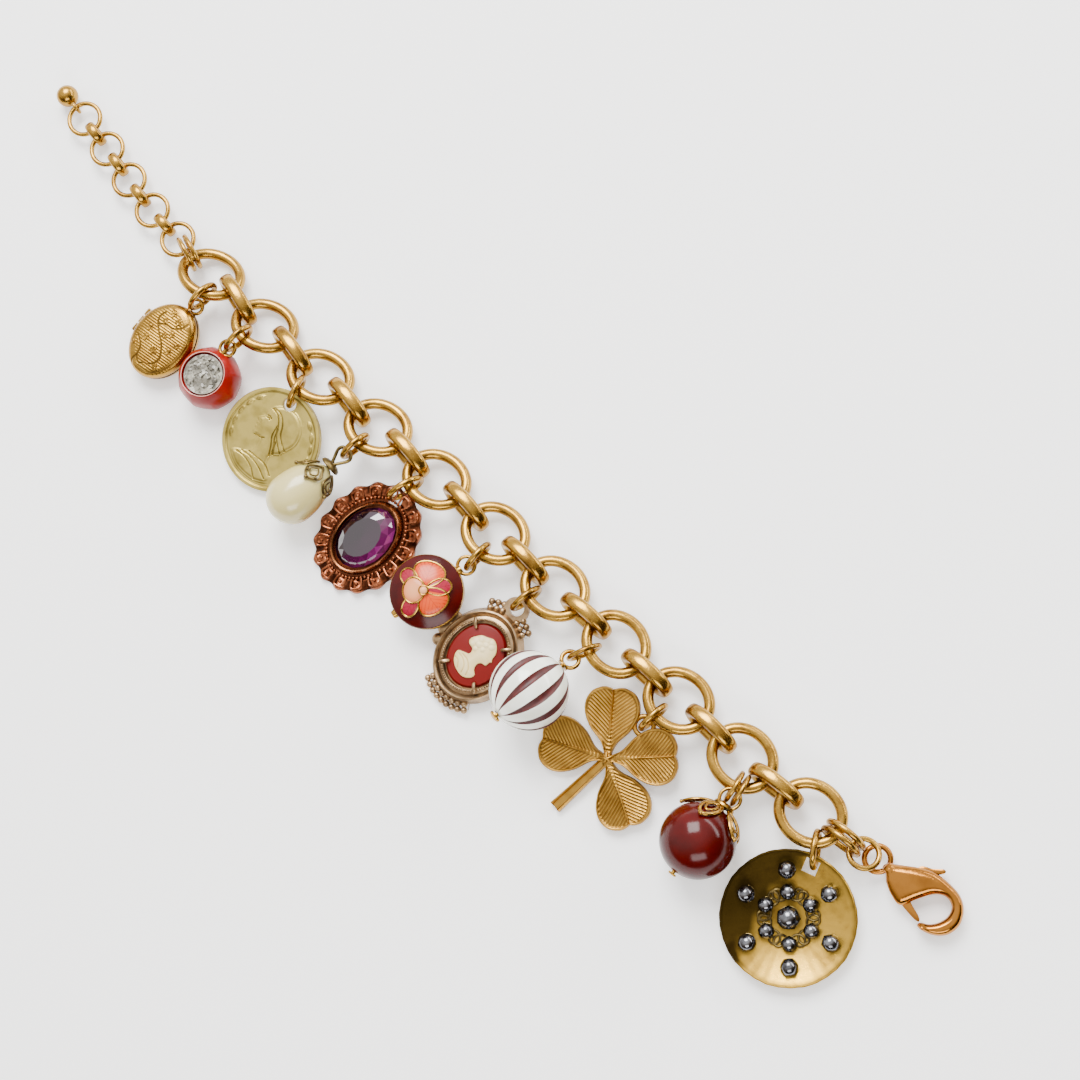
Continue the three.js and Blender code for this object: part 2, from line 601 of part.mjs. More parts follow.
// A squat bead with a flat face that holds a disc of rough crystal
function coralBead() {
    const holder = holderFor();
    const wide = CORAL_DIAMETER / 2;
    const seat = CRYSTAL_DIAMETER / 2 + AIR;
    const top = CORAL_HEIGHT;
    const floor = top - CRYSTAL_THICKNESS;
    const bead = turned([[0, 0], [wide * 0.62, 0], [wide * 0.9, top * 0.2], [wide, top * 0.48],
        [wide * 0.93, top * 0.75], [CORAL_FACE / 2, top], [seat, top], [seat, floor], [0, floor]], BEAD_STEPS);
    const bailAt = wide * 1.1;
    const bailHigh = top * 0.8;
    const rough = turned([[0, 0], [CRYSTAL_DIAMETER / 2, 0], [CRYSTAL_DIAMETER / 2, CRYSTAL_THICKNESS * 0.7],
        [CRYSTAL_DIAMETER * 0.3, CRYSTAL_THICKNESS], [0, CRYSTAL_THICKNESS * 0.8]], BEAD_STEPS);
    const away = -bailAt - (CORAL_BAIL - CORAL_BAIL_WIRE) / 2;
    const bail = ringShape(CORAL_BAIL, CORAL_BAIL_WIRE, { at: [0, bailAt, bailHigh] });
    piece("coral_bead", join(bead, bail), "coral", holder, [0, away, -bailHigh]);
    piece("crystal_disc", rough, "crystal", holder, [0, away, floor + AIR - bailHigh]);
    return { holder, rim: CORAL_BAIL_WIRE / 2 };
}

// A struck disc with a raised rim, a head in low relief and leaves beside it, drilled near the edge
function coin() {
    const holder = holderFor();
    const radius = COIN_DIAMETER / 2;
    const rimInside = radius - COIN_RIM;
    const field = COIN_THICKNESS - COIN_RELIEF;
    const disc = turned([[0, 0], [radius, 0], [radius, COIN_THICKNESS], [rimInside, COIN_THICKNESS],
        [rimInside, field], [0, field]], DISC_STEPS);
    const raised = (points, turn) =>
        plate(points, COIN_RELIEF * 1.5, { at: [0, 0, field - COIN_RELIEF * 0.5], turn: [0, 0, turn] });
    const relief = [raised(COIN_HEAD.map(([x, y]) => [x * COIN_DIAMETER, y * COIN_DIAMETER]), COIN_HEAD_TURN)];
    const leaf = [[0.78, 0], [0.83, -0.11], [0.88, 0], [0.83, 0.11]].map(([x, y]) => [x * radius, y * radius]);
    for (const side of [-1, 1]) {
        for (const degrees of COIN_LEAF_DEG) {
            relief.push(raised(leaf, Math.PI / 2 - side * degrees * DEGREE));
        }
    }
    const strip = COIN_HOLE_INSET - COIN_HOLE / 2;
    const hole = post(COIN_HOLE, COIN_THICKNESS * 4, [0, radius - COIN_HOLE_INSET, 0]);
    const shift = [0, strip / 2 - radius, -COIN_THICKNESS / 2];
    piece("coin", cut(join(disc, relief), hole), "coinBrass", holder, shift);
    return { holder, rim: Math.hypot(strip, COIN_THICKNESS) / 2 };
}

// A wire petal laid on a turned bead about Y, from near the pole outwards
function petalLoop(surface, start, end, spread, wire, azimuth) {
    const path = [];
    const away = AIR + (wire + SOLDER) / 2;
    for (let i = 0; i < 8; i += 1) {
        const round = i / 8 * 2 * Math.PI;
        const { radius, height, outX, outY } = surface((start + end) / 2 - (end - start) / 2 * Math.cos(round));
        const around = azimuth + spread * Math.sin(round);
        const reach = radius + away * outX;
        path.push(new THREE.Vector3(reach * Math.cos(around), height + away * outY, reach * Math.sin(around)));
    }
    return wireLoop(path, wire, 8);
}

// Half width of the pearl drop at a share of its length from the top
function pearlReach(share) {
    const bulb = PEARL_WIDTH / 2;
    const widest = 1 - bulb / PEARL_LENGTH;
    if (share > widest) return bulb * Math.sqrt(Math.max(0, 1 - ((share - widest) / (1 - widest)) ** 2));
    return bulb * Math.sin(Math.PI / 2 * (share / widest) ** 0.62);
}

// A pearl drop hung by a pierced cap of wire petals and a long loop
function pearlDrop() {
    const holder = holderFor();
    const top = -PEARL_LOOP_LENGTH - PEARL_CAP_WIRE - AIR;
    const profile = [];
    const rows = 10;
    for (let i = 0; i <= rows; i += 1) {
        const share = (1 - Math.cos(Math.PI * i / rows)) / 2;
        profile.push(new THREE.Vector2(i % rows === 0 ? 0 : pearlReach(share), top - share * PEARL_LENGTH));
    }
    piece("pearl_drop", new THREE.LatheGeometry(profile, BEAD_STEPS), "pearl", holder);
    const surface = (share) => {
        const step = 0.01;
        const slope = (pearlReach(share + step) - pearlReach(share)) / (step * PEARL_LENGTH);
        const size = Math.hypot(1, slope);
        const height = top - share * PEARL_LENGTH;
        return { radius: pearlReach(share), height, outX: 1 / size, outY: slope / size };
    };
    const petals = [];
    for (let i = 0; i < PEARL_PETALS; i += 1) {
        const around = (i + 0.25) * 2 * Math.PI / PEARL_PETALS;
        petals.push(petalLoop(surface, 0.05, 0.24, 0.4, PEARL_CAP_WIRE, around));
    }
    const crownRows = [[0, 0.2], [1.8, 0], [3, -0.8], [3, -1.8], [2.1, -1.1], [0, -0.9]];
    const crown = new THREE.LatheGeometry(crownRows.map(([r, y]) =>
        new THREE.Vector2(r * PEARL_CAP_WIRE, top + AIR + (y + 1.2) * PEARL_CAP_WIRE)), RING_STEPS);
    const bend = [[0, 0], [-0.4, -0.12], [-0.5, -0.35], [-0.28, -0.7], [0, -1], [0.28, -0.7], [0.5, -0.35],
        [0.4, -0.12]].map(([x, y]) => new THREE.Vector3(x * PEARL_LOOP_WIDTH, y * PEARL_LOOP_LENGTH, 0));
    const loop = wireLoop(bend, PEARL_LOOP_WIRE, LINK_STEPS);
    piece("pearl_cap", join(crown, petals, loop), "oldBrass", holder);
    return { holder, rim: PEARL_LOOP_WIRE / 2 };
}

// An oval dish with a ruffled border and a smooth bezel round a faceted stone
function amethystOval() {
    const holder = holderFor();
    const long = OVAL_LENGTH / 2;
    const wide = OVAL_WIDTH / 2;
    const stoneLong = AMETHYST_LENGTH / 2;
    const turnedBack = (shape) => placed(geometryOf(solid(shape)), { turn: [0, 0, -OVAL_HOLE_TURN] });
    const corners = [[1, 0, 0], [1, 0.9, 0], [0.35, 1, 1], [0, 0.35, 0.5]];
    const border = new ParametricGeometry((u, v, target) => {
        const round = u * 2 * Math.PI;
        const wave = Math.cos(OVAL_RUFFLES * round);
        const [inward, high, ruffle] = corners[Math.round(v * corners.length) % corners.length];
        const reach = -inward * OVAL_RUFFLE_WIDTH + ruffle * OVAL_RUFFLE_HEIGHT * 0.5 * wave;
        target.set((wide + reach) * Math.sin(round), (long + reach) * Math.cos(round),
            high * OVAL_THICKNESS + ruffle * OVAL_RUFFLE_HEIGHT * wave);
    }, OVAL_RUFFLES * 3, corners.length);
    const dishLong = long - OVAL_RUFFLE_WIDTH + SOLDER;
    const dishOval = (wide - OVAL_RUFFLE_WIDTH + SOLDER) / dishLong;
    const high = OVAL_THICKNESS * 0.8;
    const low = OVAL_THICKNESS * 0.5;
    const dish = turned([[0, 0], [dishLong, 0], [dishLong, high], [0, high]], DISC_STEPS, dishOval);
    const stoneOval = AMETHYST_WIDTH / AMETHYST_LENGTH;
    const seat = stoneLong + AIR * 1.3;
    const bezelTop = OVAL_THICKNESS + BEZEL_HEIGHT;
    const bezel = turned([[0, low], [seat + BEZEL_WALL, low], [seat + BEZEL_WALL * 0.8, bezelTop],
        [0, bezelTop]], DISC_STEPS, (AMETHYST_WIDTH / 2 + AIR + BEZEL_WALL) / (seat + BEZEL_WALL));
    const pocket = turned([[0, low], [seat, low], [seat, bezelTop * 2], [0, bezelTop * 2]], DISC_STEPS,
        (AMETHYST_WIDTH / 2 + AIR) / seat);
    const hole = post(OVAL_HOLE, OVAL_THICKNESS * 6, [0, long - OVAL_HOLE_INSET, 0]);
    const frame = cut(turnedBack(join(border, dish, bezel)), turnedBack(pocket), hole);
    const floor = low + AIR;
    const stone = turned([[0, floor], [stoneLong * 0.8, floor], [stoneLong, floor + AMETHYST_HEIGHT * 0.4],
        [stoneLong * 0.62, floor + AMETHYST_HEIGHT], [0, floor + AMETHYST_HEIGHT]], LINK_STEPS, stoneOval);
    const strip = OVAL_HOLE_INSET - OVAL_HOLE / 2;
    const shift = [0, strip / 2 - long, -OVAL_THICKNESS * 0.65];
    piece("oval_frame", frame, "copper", holder, shift);
    piece("amethyst", turnedBack(stone), "amethyst", holder, shift);
    return { holder, rim: Math.hypot(strip, OVAL_THICKNESS + 2 * OVAL_RUFFLE_HEIGHT) / 2 };
}

// A low pad that follows a dome: an outline in plan, raised above the dome by the relief
function domePad(outline, dome, relief) {
    const count = outline.length;
    const middle = outline.reduce(([x, y], point) => [x + point[0] / count, y + point[1] / count], [0, 0]);
    const rows = [[0, 1], [0.75, 1], [1, 0.5], [1, -1], [0, -1]];
    return new ParametricGeometry((u, v, target) => {
        const [x, y] = outline[Math.round(u * count) % count];
        const [share, lift] = rows[Math.round(v * (rows.length - 1))];
        const px = middle[0] + (x - middle[0]) * share;
        const py = middle[1] + (y - middle[1]) * share;
        target.set(px, py, dome(Math.hypot(px, py)) + lift * relief);
    }, count, rows.length - 1);
}

// A petal's outline from its root: length and width, blunter with a smaller taper
function petalOutline([x, y], length, width, degrees, taper) {
    const outline = [];
    const points = 9;
    for (let i = 0; i < points; i += 1) {
        const round = i / points * 2 * Math.PI;
        const share = (1 - Math.cos(round)) / 2;
        const along = length * share;
        const across = width / 2 * Math.sin(round) * share ** taper * 1.3;
        const turn = degrees * DEGREE;
        outline.push([x + along * Math.cos(turn) - across * Math.sin(turn),
            y + along * Math.sin(turn) + across * Math.cos(turn)]);
    }
    return outline;
}

// A puffed enamelled disc with a flat edge band and a raised orchid
function orchidBead() {
    const holder = holderFor();
    const radius = ORCHID_DIAMETER / 2;
    const dome = (reach) => (ORCHID_THICKNESS - (ORCHID_THICKNESS - ORCHID_EDGE) * (reach / radius) ** 2) / 2;
    const rows = [0.95, 0.7, 0.4, 0].map((share) => [share * radius, dome(share * radius)]);
    const edge = [radius, ORCHID_EDGE / 2 * 0.8];
    const under = [...rows].reverse().map(([r, z]) => [r, -z]);
    const body = turned([...under, [edge[0], -edge[1]], edge, ...rows], DISC_STEPS);
    const blooms = [
        [[-0.4, 0.2], 0.72, 0.78, 128, 0.3], [[-0.2, 0.1], 0.72, 0.78, 2, 0.3], [[0, 0], 0.72, 0.42, 68, 0.4],
        [[-0.6, -0.4], 0.7, 0.4, 190, 0.4], [[-0.2, -0.8], 0.72, 0.4, 292, 0.4],
        [[0.2, 0.2], 0.62, 0.56, 232, 0.1],
    ];
    const pads = blooms.map(([root, long, wide, degrees, taper], index) => domePad(
        petalOutline(root, long * radius, wide * radius, degrees, taper), dome,
        index === blooms.length - 1 ? ORCHID_RELIEF * 1.6 : ORCHID_RELIEF));
    const loopAt = radius + ORCHID_LOOP / 2 - SOLDER;
    const loop = ringShape(ORCHID_LOOP, ORCHID_LOOP_WIRE, { at: [0, loopAt, 0] });
    const knob = bar(ORCHID_LOOP_WIRE * 2, ORCHID_LOOP_WIRE * 2, [0, -radius, 0]);
    piece("orchid_bead", join(body, pads, loop, knob), "enamel", holder,
        [0, -loopAt - (ORCHID_LOOP - ORCHID_LOOP_WIRE) / 2, 0]);
    return { holder, rim: ORCHID_LOOP_WIRE / 2 };
}

// An oval setting with beaded ends, lobed sides and four prongs round a carved cameo
function cameo() {
    const holder = holderFor();
    const long = CAMEO_LENGTH / 2;
    const oval = CAMEO_WIDTH / CAMEO_LENGTH;
    const stoneLong = CAMEO_STONE_LENGTH / 2;
    const stoneWide = CAMEO_STONE_WIDTH / 2;
    const rimTop = CAMEO_THICKNESS + CAMEO_RIM_HEIGHT;
    const floor = CAMEO_THICKNESS * 0.7;
    const seat = stoneLong + AIR;
    const setting = turned([[0, 0], [long, 0], [long, CAMEO_THICKNESS * 0.6], [long - CAMEO_RIM * 0.5, rimTop],
        [long - CAMEO_RIM * 1.2, rimTop * 0.8], [seat, rimTop], [0, rimTop]], DISC_STEPS, oval);
    const pocket = turned([[0, floor], [seat, floor], [seat, rimTop * 2], [0, rimTop * 2]], DISC_STEPS,
        (stoneWide + AIR) / seat);
    const trim = [];
    const beads = (count, size, away, spread, height, middle) => {
        for (let i = 0; i < count; i += 1) {
            const turn = middle + (i - (count - 1) / 2) * spread;
            trim.push(placed(new THREE.OctahedronGeometry(size / 2, 0),
                { at: [(long * oval + away) * Math.sin(turn), (long + away) * Math.cos(turn), height] }));
        }
    };
    const flange = [];
    for (let i = -4; i <= 4; i += 1) {
        const turn = i * CAMEO_BEAD_STEP;
        flange.push([(long * oval + CAMEO_FLANGE) * Math.sin(turn), (long + CAMEO_FLANGE) * Math.cos(turn)]);
    }
    for (const end of [0, Math.PI]) {
        trim.push(plate([...flange, [0, long * 0.6]], CAMEO_BEAD * 0.5, { turn: [0, 0, end] }));
        beads(CAMEO_BEADS_OUTER, CAMEO_BEAD, CAMEO_FLANGE, CAMEO_BEAD_STEP, CAMEO_BEAD * 0.6, end);
        beads(CAMEO_BEADS_INNER, CAMEO_BEAD, 0, CAMEO_BEAD_STEP, CAMEO_BEAD, end);
        beads(3, CAMEO_BEAD * 1.8, 0, 2 * CAMEO_BEAD_STEP, CAMEO_BEAD * 0.9, end + Math.PI / 2);
    }
    for (const quarter of [0, 1, 2, 3]) {
        const turn = (quarter + 0.5) * Math.PI / 2;
        const at = [(stoneWide + AIR) * Math.sin(turn), (stoneLong + AIR) * Math.cos(turn), rimTop];
        trim.push(placed(new THREE.ConeGeometry(CAMEO_RIM * 0.4, CAMEO_RIM * 1.6, WIRE_SIDES),
            { at, turn: [0, 0, Math.atan2(at[0], -at[1])] }));
    }
    const earAt = long + CAMEO_BEAD * 1.2;
    const ear = post(CAMEO_EAR, CAMEO_THICKNESS * 0.8, [0, earAt, CAMEO_THICKNESS * 0.4]);
    const holeAt = earAt + (CAMEO_EAR - CAMEO_HOLE) / 2 * 0.3;
    const rimInside = holeAt + CAMEO_HOLE / 2;
    const rimOutside = earAt + CAMEO_EAR / 2;
    const frame = cut(join(setting, trim, ear), pocket, post(CAMEO_HOLE, rimTop * 4, [0, holeAt, 0]));
    const shift = [0, -(rimInside + rimOutside) / 2, -CAMEO_THICKNESS * 0.4];
    const stoneFloor = floor + AIR;
    const stoneTop = stoneFloor + CAMEO_STONE_HEIGHT;
    const stone = turned([[0, stoneFloor], [stoneLong, stoneFloor],
        [stoneLong, stoneFloor + CAMEO_STONE_HEIGHT * 0.5], [stoneLong * 0.6, stoneTop - CAMEO_RELIEF * 0.25],
        [0, stoneTop]], DISC_STEPS, stoneWide / stoneLong);
    const bust = plate(CAMEO_BUST.map(([x, y]) => [x * CAMEO_STONE_LENGTH, y * CAMEO_STONE_LENGTH]),
        CAMEO_RELIEF * 2, { at: [0, 0, stoneTop - CAMEO_RELIEF] });
    piece("cameo_frame", frame, "paleGilt", holder, shift);
    piece("cameo_stone", join(stone, bust), "carnelian", holder, shift);
    return { holder, rim: Math.hypot(rimOutside - rimInside, CAMEO_THICKNESS * 0.8) / 2 };
}

// A pin along Y through a bead: a head below, a collar and a loop above. Its loop's top is at the origin.
function headedPin(bead, wire, head, loop) {
    const reach = bead / 2 + AIR;
    const headThick = head * 0.25;
    const loopAt = reach + headThick * 0.5 + (loop - wire) / 2;
    return {
        shape: join(
            bar(wire, 2 * reach + headThick, [0, 0, 0]),
            bar(head, headThick, [0, -reach - headThick / 2, 0]),
            bar(head, headThick, [0, reach + headThick / 2, 0]),
            ringShape(loop, wire, { at: [0, loopAt, 0] })),
        shift: [0, -loopAt - (loop - wire) / 2, 0],
    };
}

// A ball carved with lens-shaped grooves from pole to pole, on a headed pin
function stripedBall() {
    const holder = holderFor();
    const radius = STRIPED_DIAMETER / 2;
    const turns = [0, 0.22, 0.5, 0.78];
    const steps = STRIPES * turns.length;
    const ball = new ParametricGeometry((u, v, target) => {
        const down = v * Math.PI;
        const step = Math.round(u * steps) % steps;
        const within = step % turns.length;
        const around = ((step - within) / turns.length + turns[within]) / STRIPES * 2 * Math.PI;
        const groove = within === 0 ? STRIPE_DEPTH * Math.sin(down) ** 2 : 0;
        const reach = (radius - groove) * Math.sin(down);
        target.set(reach * Math.cos(around), radius * Math.cos(down), reach * Math.sin(around));
    }, steps, 7);
    const bore = bar(STRIPED_PIN + 2 * AIR, STRIPED_DIAMETER * 2);
    const pin = headedPin(STRIPED_DIAMETER, STRIPED_PIN, STRIPED_HEAD, STRIPED_LOOP);
    piece("striped_ball", cut(ball, bore), "whiteEnamel", holder, pin.shift);
    piece("striped_pin", pin.shape, "brass", holder, pin.shift);
    return { holder, rim: STRIPED_PIN / 2 };
}

// Four stamped leaves with a rib each, a stem, and a bail ring between two leaves
function clover() {
    const holder = holderFor();
    const wide = CLOVER_LEAF_WIDTH / 2;
    const reach = CLOVER_REACH;
    const leaf = new THREE.Shape();
    leaf.moveTo(0, -CLOVER_RIB);
    leaf.bezierCurveTo(reach * 0.35, -wide * 0.6, reach * 0.55, -wide * 1.25, reach * 0.9, -wide * 0.72);
    leaf.quadraticCurveTo(reach * 1.02, -wide * 0.45, reach, 0);
    leaf.quadraticCurveTo(reach * 1.02, wide * 0.45, reach * 0.9, wide * 0.72);
    leaf.bezierCurveTo(reach * 0.55, wide * 1.25, reach * 0.35, wide * 0.6, 0, CLOVER_RIB);
    const outline = leaf.getPoints(3).map(({ x, y }) => [x, y]);
    const ribEnd = reach * 0.93;
    const rib = [[0, -CLOVER_RIB], [ribEnd, -CLOVER_RIB * 0.3], [ribEnd, CLOVER_RIB * 0.3], [0, CLOVER_RIB]];
    const stem = CLOVER_STEM_WIDTH / 2;
    const parts = [
        plate([[0, -stem * 0.7], [reach, -stem], [reach, stem], [0, stem * 0.7]], CLOVER_THICKNESS * 1.4,
            { turn: [0, 0, CLOVER_STEM_DEG * DEGREE] }),
        post(stem * 1.6, CLOVER_THICKNESS * 1.5, [0, 0, CLOVER_THICKNESS * 0.75]),
    ];
    for (const degrees of CLOVER_LEAF_DEG) {
        const turn = [0, 0, degrees * DEGREE];
        parts.push(plate(outline, CLOVER_THICKNESS, { turn }));
        parts.push(plate(rib, CLOVER_THICKNESS + CLOVER_RIB, { turn }));
    }
    const bailAt = reach * 0.68;
    const height = CLOVER_BAIL_WIRE * 0.45;
    parts.push(ringShape(CLOVER_BAIL, CLOVER_BAIL_WIRE, { at: [0, bailAt, height] }));
    piece("clover", join(parts), "brass", holder,
        [0, -bailAt - (CLOVER_BAIL - CLOVER_BAIL_WIRE) / 2, -height]);
    return { holder, rim: CLOVER_BAIL_WIRE / 2 };
}

// A dark polished bead, with a cap of open wire petals, a pin and a loop
function darkBead() {
    const holder = holderFor();
    const radius = DARK_DIAMETER / 2;
    const start = Math.asin((DARK_PIN / 2 + AIR) / radius);
    const profile = [];
    const rows = 9;
    for (let i = 0; i <= rows; i += 1) {
        const down = THREE.MathUtils.lerp(start, Math.PI - start, i / rows);
        profile.push(new THREE.Vector2(radius * Math.sin(down), radius * Math.cos(down)));
    }
    profile.push(profile[0].clone());
    const surface = (down) => {
        const [outX, outY] = [Math.sin(down), Math.cos(down)];
        return { radius: radius * outX, height: radius * outY, outX, outY };
    };
    const petals = [];
    for (let i = 0; i < DARK_PETALS; i += 1) {
        const around = (i + 0.5) * 2 * Math.PI / DARK_PETALS;
        petals.push(petalLoop(surface, 0.22, 1.02, 0.48, DARK_CAP_WIRE, around));
    }
    const crown = bar(radius * 0.6, DARK_CAP_WIRE, [0, radius + AIR + DARK_CAP_WIRE / 2, 0], RING_STEPS);
    const pin = headedPin(DARK_DIAMETER, DARK_PIN, DARK_HEAD, DARK_LOOP);
    piece("dark_bead", new THREE.LatheGeometry(profile, BEAD_STEPS), "darkStone", holder, pin.shift);
    piece("dark_cap", join(pin.shape, crown, petals), "brass", holder, pin.shift);
    return { holder, rim: DARK_PIN };
}

// A dished disc with a square hole, set with faceted steel beads
function button() {
    const holder = holderFor();
    const radius = BUTTON_DIAMETER / 2;
    const dip = (reach) => BUTTON_DEPTH * (reach / radius) ** 2;
    const under = [0, 0.35, 0.7, 1].map((share) => [share * radius, dip(share * radius)]);
    const over = [...under].reverse().map(([r, z]) => [r, z + BUTTON_SHEET]);
    const parts = [turned([...under, ...over], DISC_STEPS)];
    const bead = (size, reach, degrees) => {
        const turn = degrees * DEGREE;
        parts.push(placed(new THREE.IcosahedronGeometry(size / 2, 0), {
            at: [reach * Math.cos(turn), reach * Math.sin(turn), dip(reach) + BUTTON_SHEET + size * 0.3],
            turn: [turn * 2, 0, turn] }));
    };
    bead(STEEL_CENTRE, 0, STEEL_START_DEG);
    for (let i = 0; i < STEEL_COUNT; i += 1) {
        bead(STEEL_INNER, STEEL_INNER_RING, STEEL_START_DEG + i * 360 / STEEL_COUNT);
        bead(STEEL_OUTER, STEEL_OUTER_RING, STEEL_START_DEG + i * 360 / STEEL_COUNT);
    }
    const holeAt = radius - BUTTON_HOLE_INSET;
    const square = new THREE.BoxGeometry(BUTTON_HOLE, BUTTON_HOLE, BUTTON_DEPTH * 4);
    const hole = placed(square, { at: [0, holeAt, 0] });
    const strip = BUTTON_HOLE_INSET - BUTTON_HOLE / 2;
    piece("button", cut(join(parts), hole), "oldBrass", holder,
        [0, strip / 2 - radius, -BUTTON_DEPTH - BUTTON_SHEET / 2 * 0.6]);
    return { holder, rim: Math.hypot(strip, BUTTON_SHEET) / 2 };
}

// The clasp about its eye: a bevelled body that curves into a hook, and a lever in a slot on a pin
function clasp(holder) {
    const sized = (rows) => rows.map(([x, y]) => [x * CLASP_LENGTH, y * CLASP_WIDTH]);
    const [pivot] = sized([LEVER_PIVOT]);
    const middle = CLASP_THICKNESS / 2;
    const body = bevelled(sized(CLASP_OUTLINE), CLASP_THICKNESS, CLASP_BEVEL);
    const slotHigh = LEVER_THICKNESS + 2 * AIR;
    const slot = plate(sized(CLASP_SLOT), slotHigh, { at: [0, 0, middle - slotHigh / 2] });
    const eye = ringShape(CLASP_EYE, CLASP_EYE_WIRE, { at: [0, 0, middle] });
    piece("clasp_body", join(cut(body, slot), post(LEVER_PIN, CLASP_THICKNESS * 0.8, [...pivot, middle]), eye),
        "brass", holder);
    const lever = cut(plate(sized(CLASP_LEVER), LEVER_THICKNESS),
        post(LEVER_PIN + 2 * AIR, LEVER_THICKNESS * 4, [...pivot, 0]));
    const mesh = piece("clasp_lever", lever, "brass", holder, [-pivot[0], -pivot[1], -LEVER_THICKNESS / 2]);
    mesh.position.set(...pivot, middle);
    return mesh;
}

const chainStart = extender();
const endHeld = [EXTENDER_WIRE / 2, MAIN_WIRE / 2];
const firstMain = chainStart.distance + END_REACH + (MAIN_LENGTH - MAIN_WIRE) / 2;
const chain = mainChain(firstMain);

// Two jump rings side by side between the extender and the first big link
const towardsChain = chain.links[0].position.clone().sub(chainStart.lastRing);
const mainStart = endFacing(chain.links[0], towardsChain.clone().negate());
const extenderEnd = towardsChain.setZ(0).setLength(chainStart.half).add(chainStart.lastRing);
ringPair("extender_jump_ring", extenderEnd, mainStart,
    { outer: END_RING, wire: END_WIRE, held: endHeld, lean: END_LEAN });

hang(locket(), ["locket_jump_ring"],
    { link: 1, face: 26, way: -6, turn: 0, tip: 6, rise: 0.3, lean: 5, steep: 0.9 });
hang(coralBead(), ["coral_jump_ring"],
    { link: 2, face: -4, way: 0, turn: 5, tip: 2, lean: 5, steep: 0.9, slack: 0.1 });
hang(coin(), ["coin_jump_ring"],
    { link: 3, face: -4, way: 8, turn: 13, tip: 8, rise: 0.2, lean: 15 });
hang(pearlDrop(), ["pearl_jump_ring"],
    { link: 4, face: 4, way: -3, turn: -6, rise: 1.4, lean: 5, slack: 0.1 });
hang(amethystOval(), ["oval_jump_ring"],
    { link: 5, face: -21, way: -15, turn: 5, tip: 3, steep: 0.6, slack: 0.4, outer: OVAL_RING });
hang(orchidBead(), ["orchid_jump_ring"],
    { link: 6, face: 10, way: 3, turn: -12, side: 4, rise: 2.2, lean: 5, steep: 0.9, slack: 0.6 });
hang(cameo(), ["cameo_jump_ring"],
    { link: 7, face: -20, way: -9, turn: 3, tip: 4, rise: 0.3 });
hang(stripedBall(), ["striped_jump_ring"],
    { link: 8, face: -24, way: -23, turn: -6, tip: -16, rise: 1.8, steep: 0.9, slack: 0.2, wire: THIN_WIRE });
hang(clover(), ["clover_jump_ring"],
    { link: 9, face: -8, way: -3, turn: -5, tip: 2, steep: 0.9, slack: 0.5 });
hang(darkBead(), ["dark_jump_ring_1", "dark_jump_ring_2"], { link: 10, face: 28, way: 30, turn: 7, tip: -6,
    rise: 0.1, lean: 20, steep: 0.85, slack: 0.3, outer: DARK_RING, wire: THIN_WIRE });
hang(button(), ["button_jump_ring"],
    { link: 11, face: 46, way: 38, turn: 20, tip: 3, lean: -5, outer: BUTTON_RING });

// Two big rings on the last link, a small ring through both, and the clasp on it
const lastHeading = station(firstMain + chain.pitch * (MAIN_COUNT - 1) + MAIN_LENGTH).heading;
const ahead = new THREE.Vector3(Math.cos(lastHeading), Math.sin(lastHeading), 0);
const lastEnd = endFacing(chain.links[MAIN_COUNT - 1], ahead);
const claspHeld = [MAIN_WIRE / 2, EYE_RING_WIRE / 2];
const left = new THREE.Vector3(-ahead.y, ahead.x, 0);
const eyeRingStart = ahead.clone().multiplyScalar(CLASP_REACH).add(lastEnd).setZ(EYE_RING_HEIGHT);
ringPair("clasp_ring", lastEnd, eyeRingStart,
    { outer: CLASP_RING, wire: CLASP_RING_WIRE, held: claspHeld, lean: CLASP_RING_LEAN });
const eyeRadius = (EYE_RING - EYE_RING_WIRE) / 2;
const eyeRingEnd = ahead.clone().multiplyScalar(2 * eyeRadius).add(eyeRingStart);
const eyeHeld = [EYE_RING_WIRE / 2, EYE_RING_WIRE / 2];
const eyeRing = jumpRing("eye_ring", eyeRingStart, eyeRingEnd,
    { outer: EYE_RING, wire: EYE_RING_WIRE, held: eyeHeld, lean: EYE_RING_LEAN });

// The clasp's flat eye lies where the small ring's wire comes down through it
const drop = EYE_RING_HEIGHT - CLASP_THICKNESS / 2;
const round = Math.asin(-drop / (eyeRadius * Math.sin(EYE_RING_LEAN)));
const claspHolder = holderFor();
claspHolder.position.copy(eyeRing.position)
    .addScaledVector(ahead, eyeRadius * Math.cos(round) + EYE_PLAY)
    .addScaledVector(left, eyeRadius * Math.sin(round) * Math.cos(EYE_RING_LEAN))
    .setZ(0);
claspHolder.rotation.z = lastHeading + CLASP_TURN;
clasp(claspHolder);

const box = new THREE.Box3().setFromObject(bracelet, true);
const centre = box.getCenter(new THREE.Vector3());
bracelet.position.set(-centre.x, -centre.y, -box.min.z);

export default bracelet;
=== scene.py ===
"""A charm bracelet laid out flat: antique brass chain, clasp, extender and eleven charms.

Lengths in the tables are millimetres in each charm's own frame, whose origin is the middle of the wire or rim
that its jump ring holds, with Y towards the chain and Z up.
"""

import bmesh
import bpy
import numpy as np
from mathutils import Matrix, Vector
from mathutils.geometry import tessellate_polygon


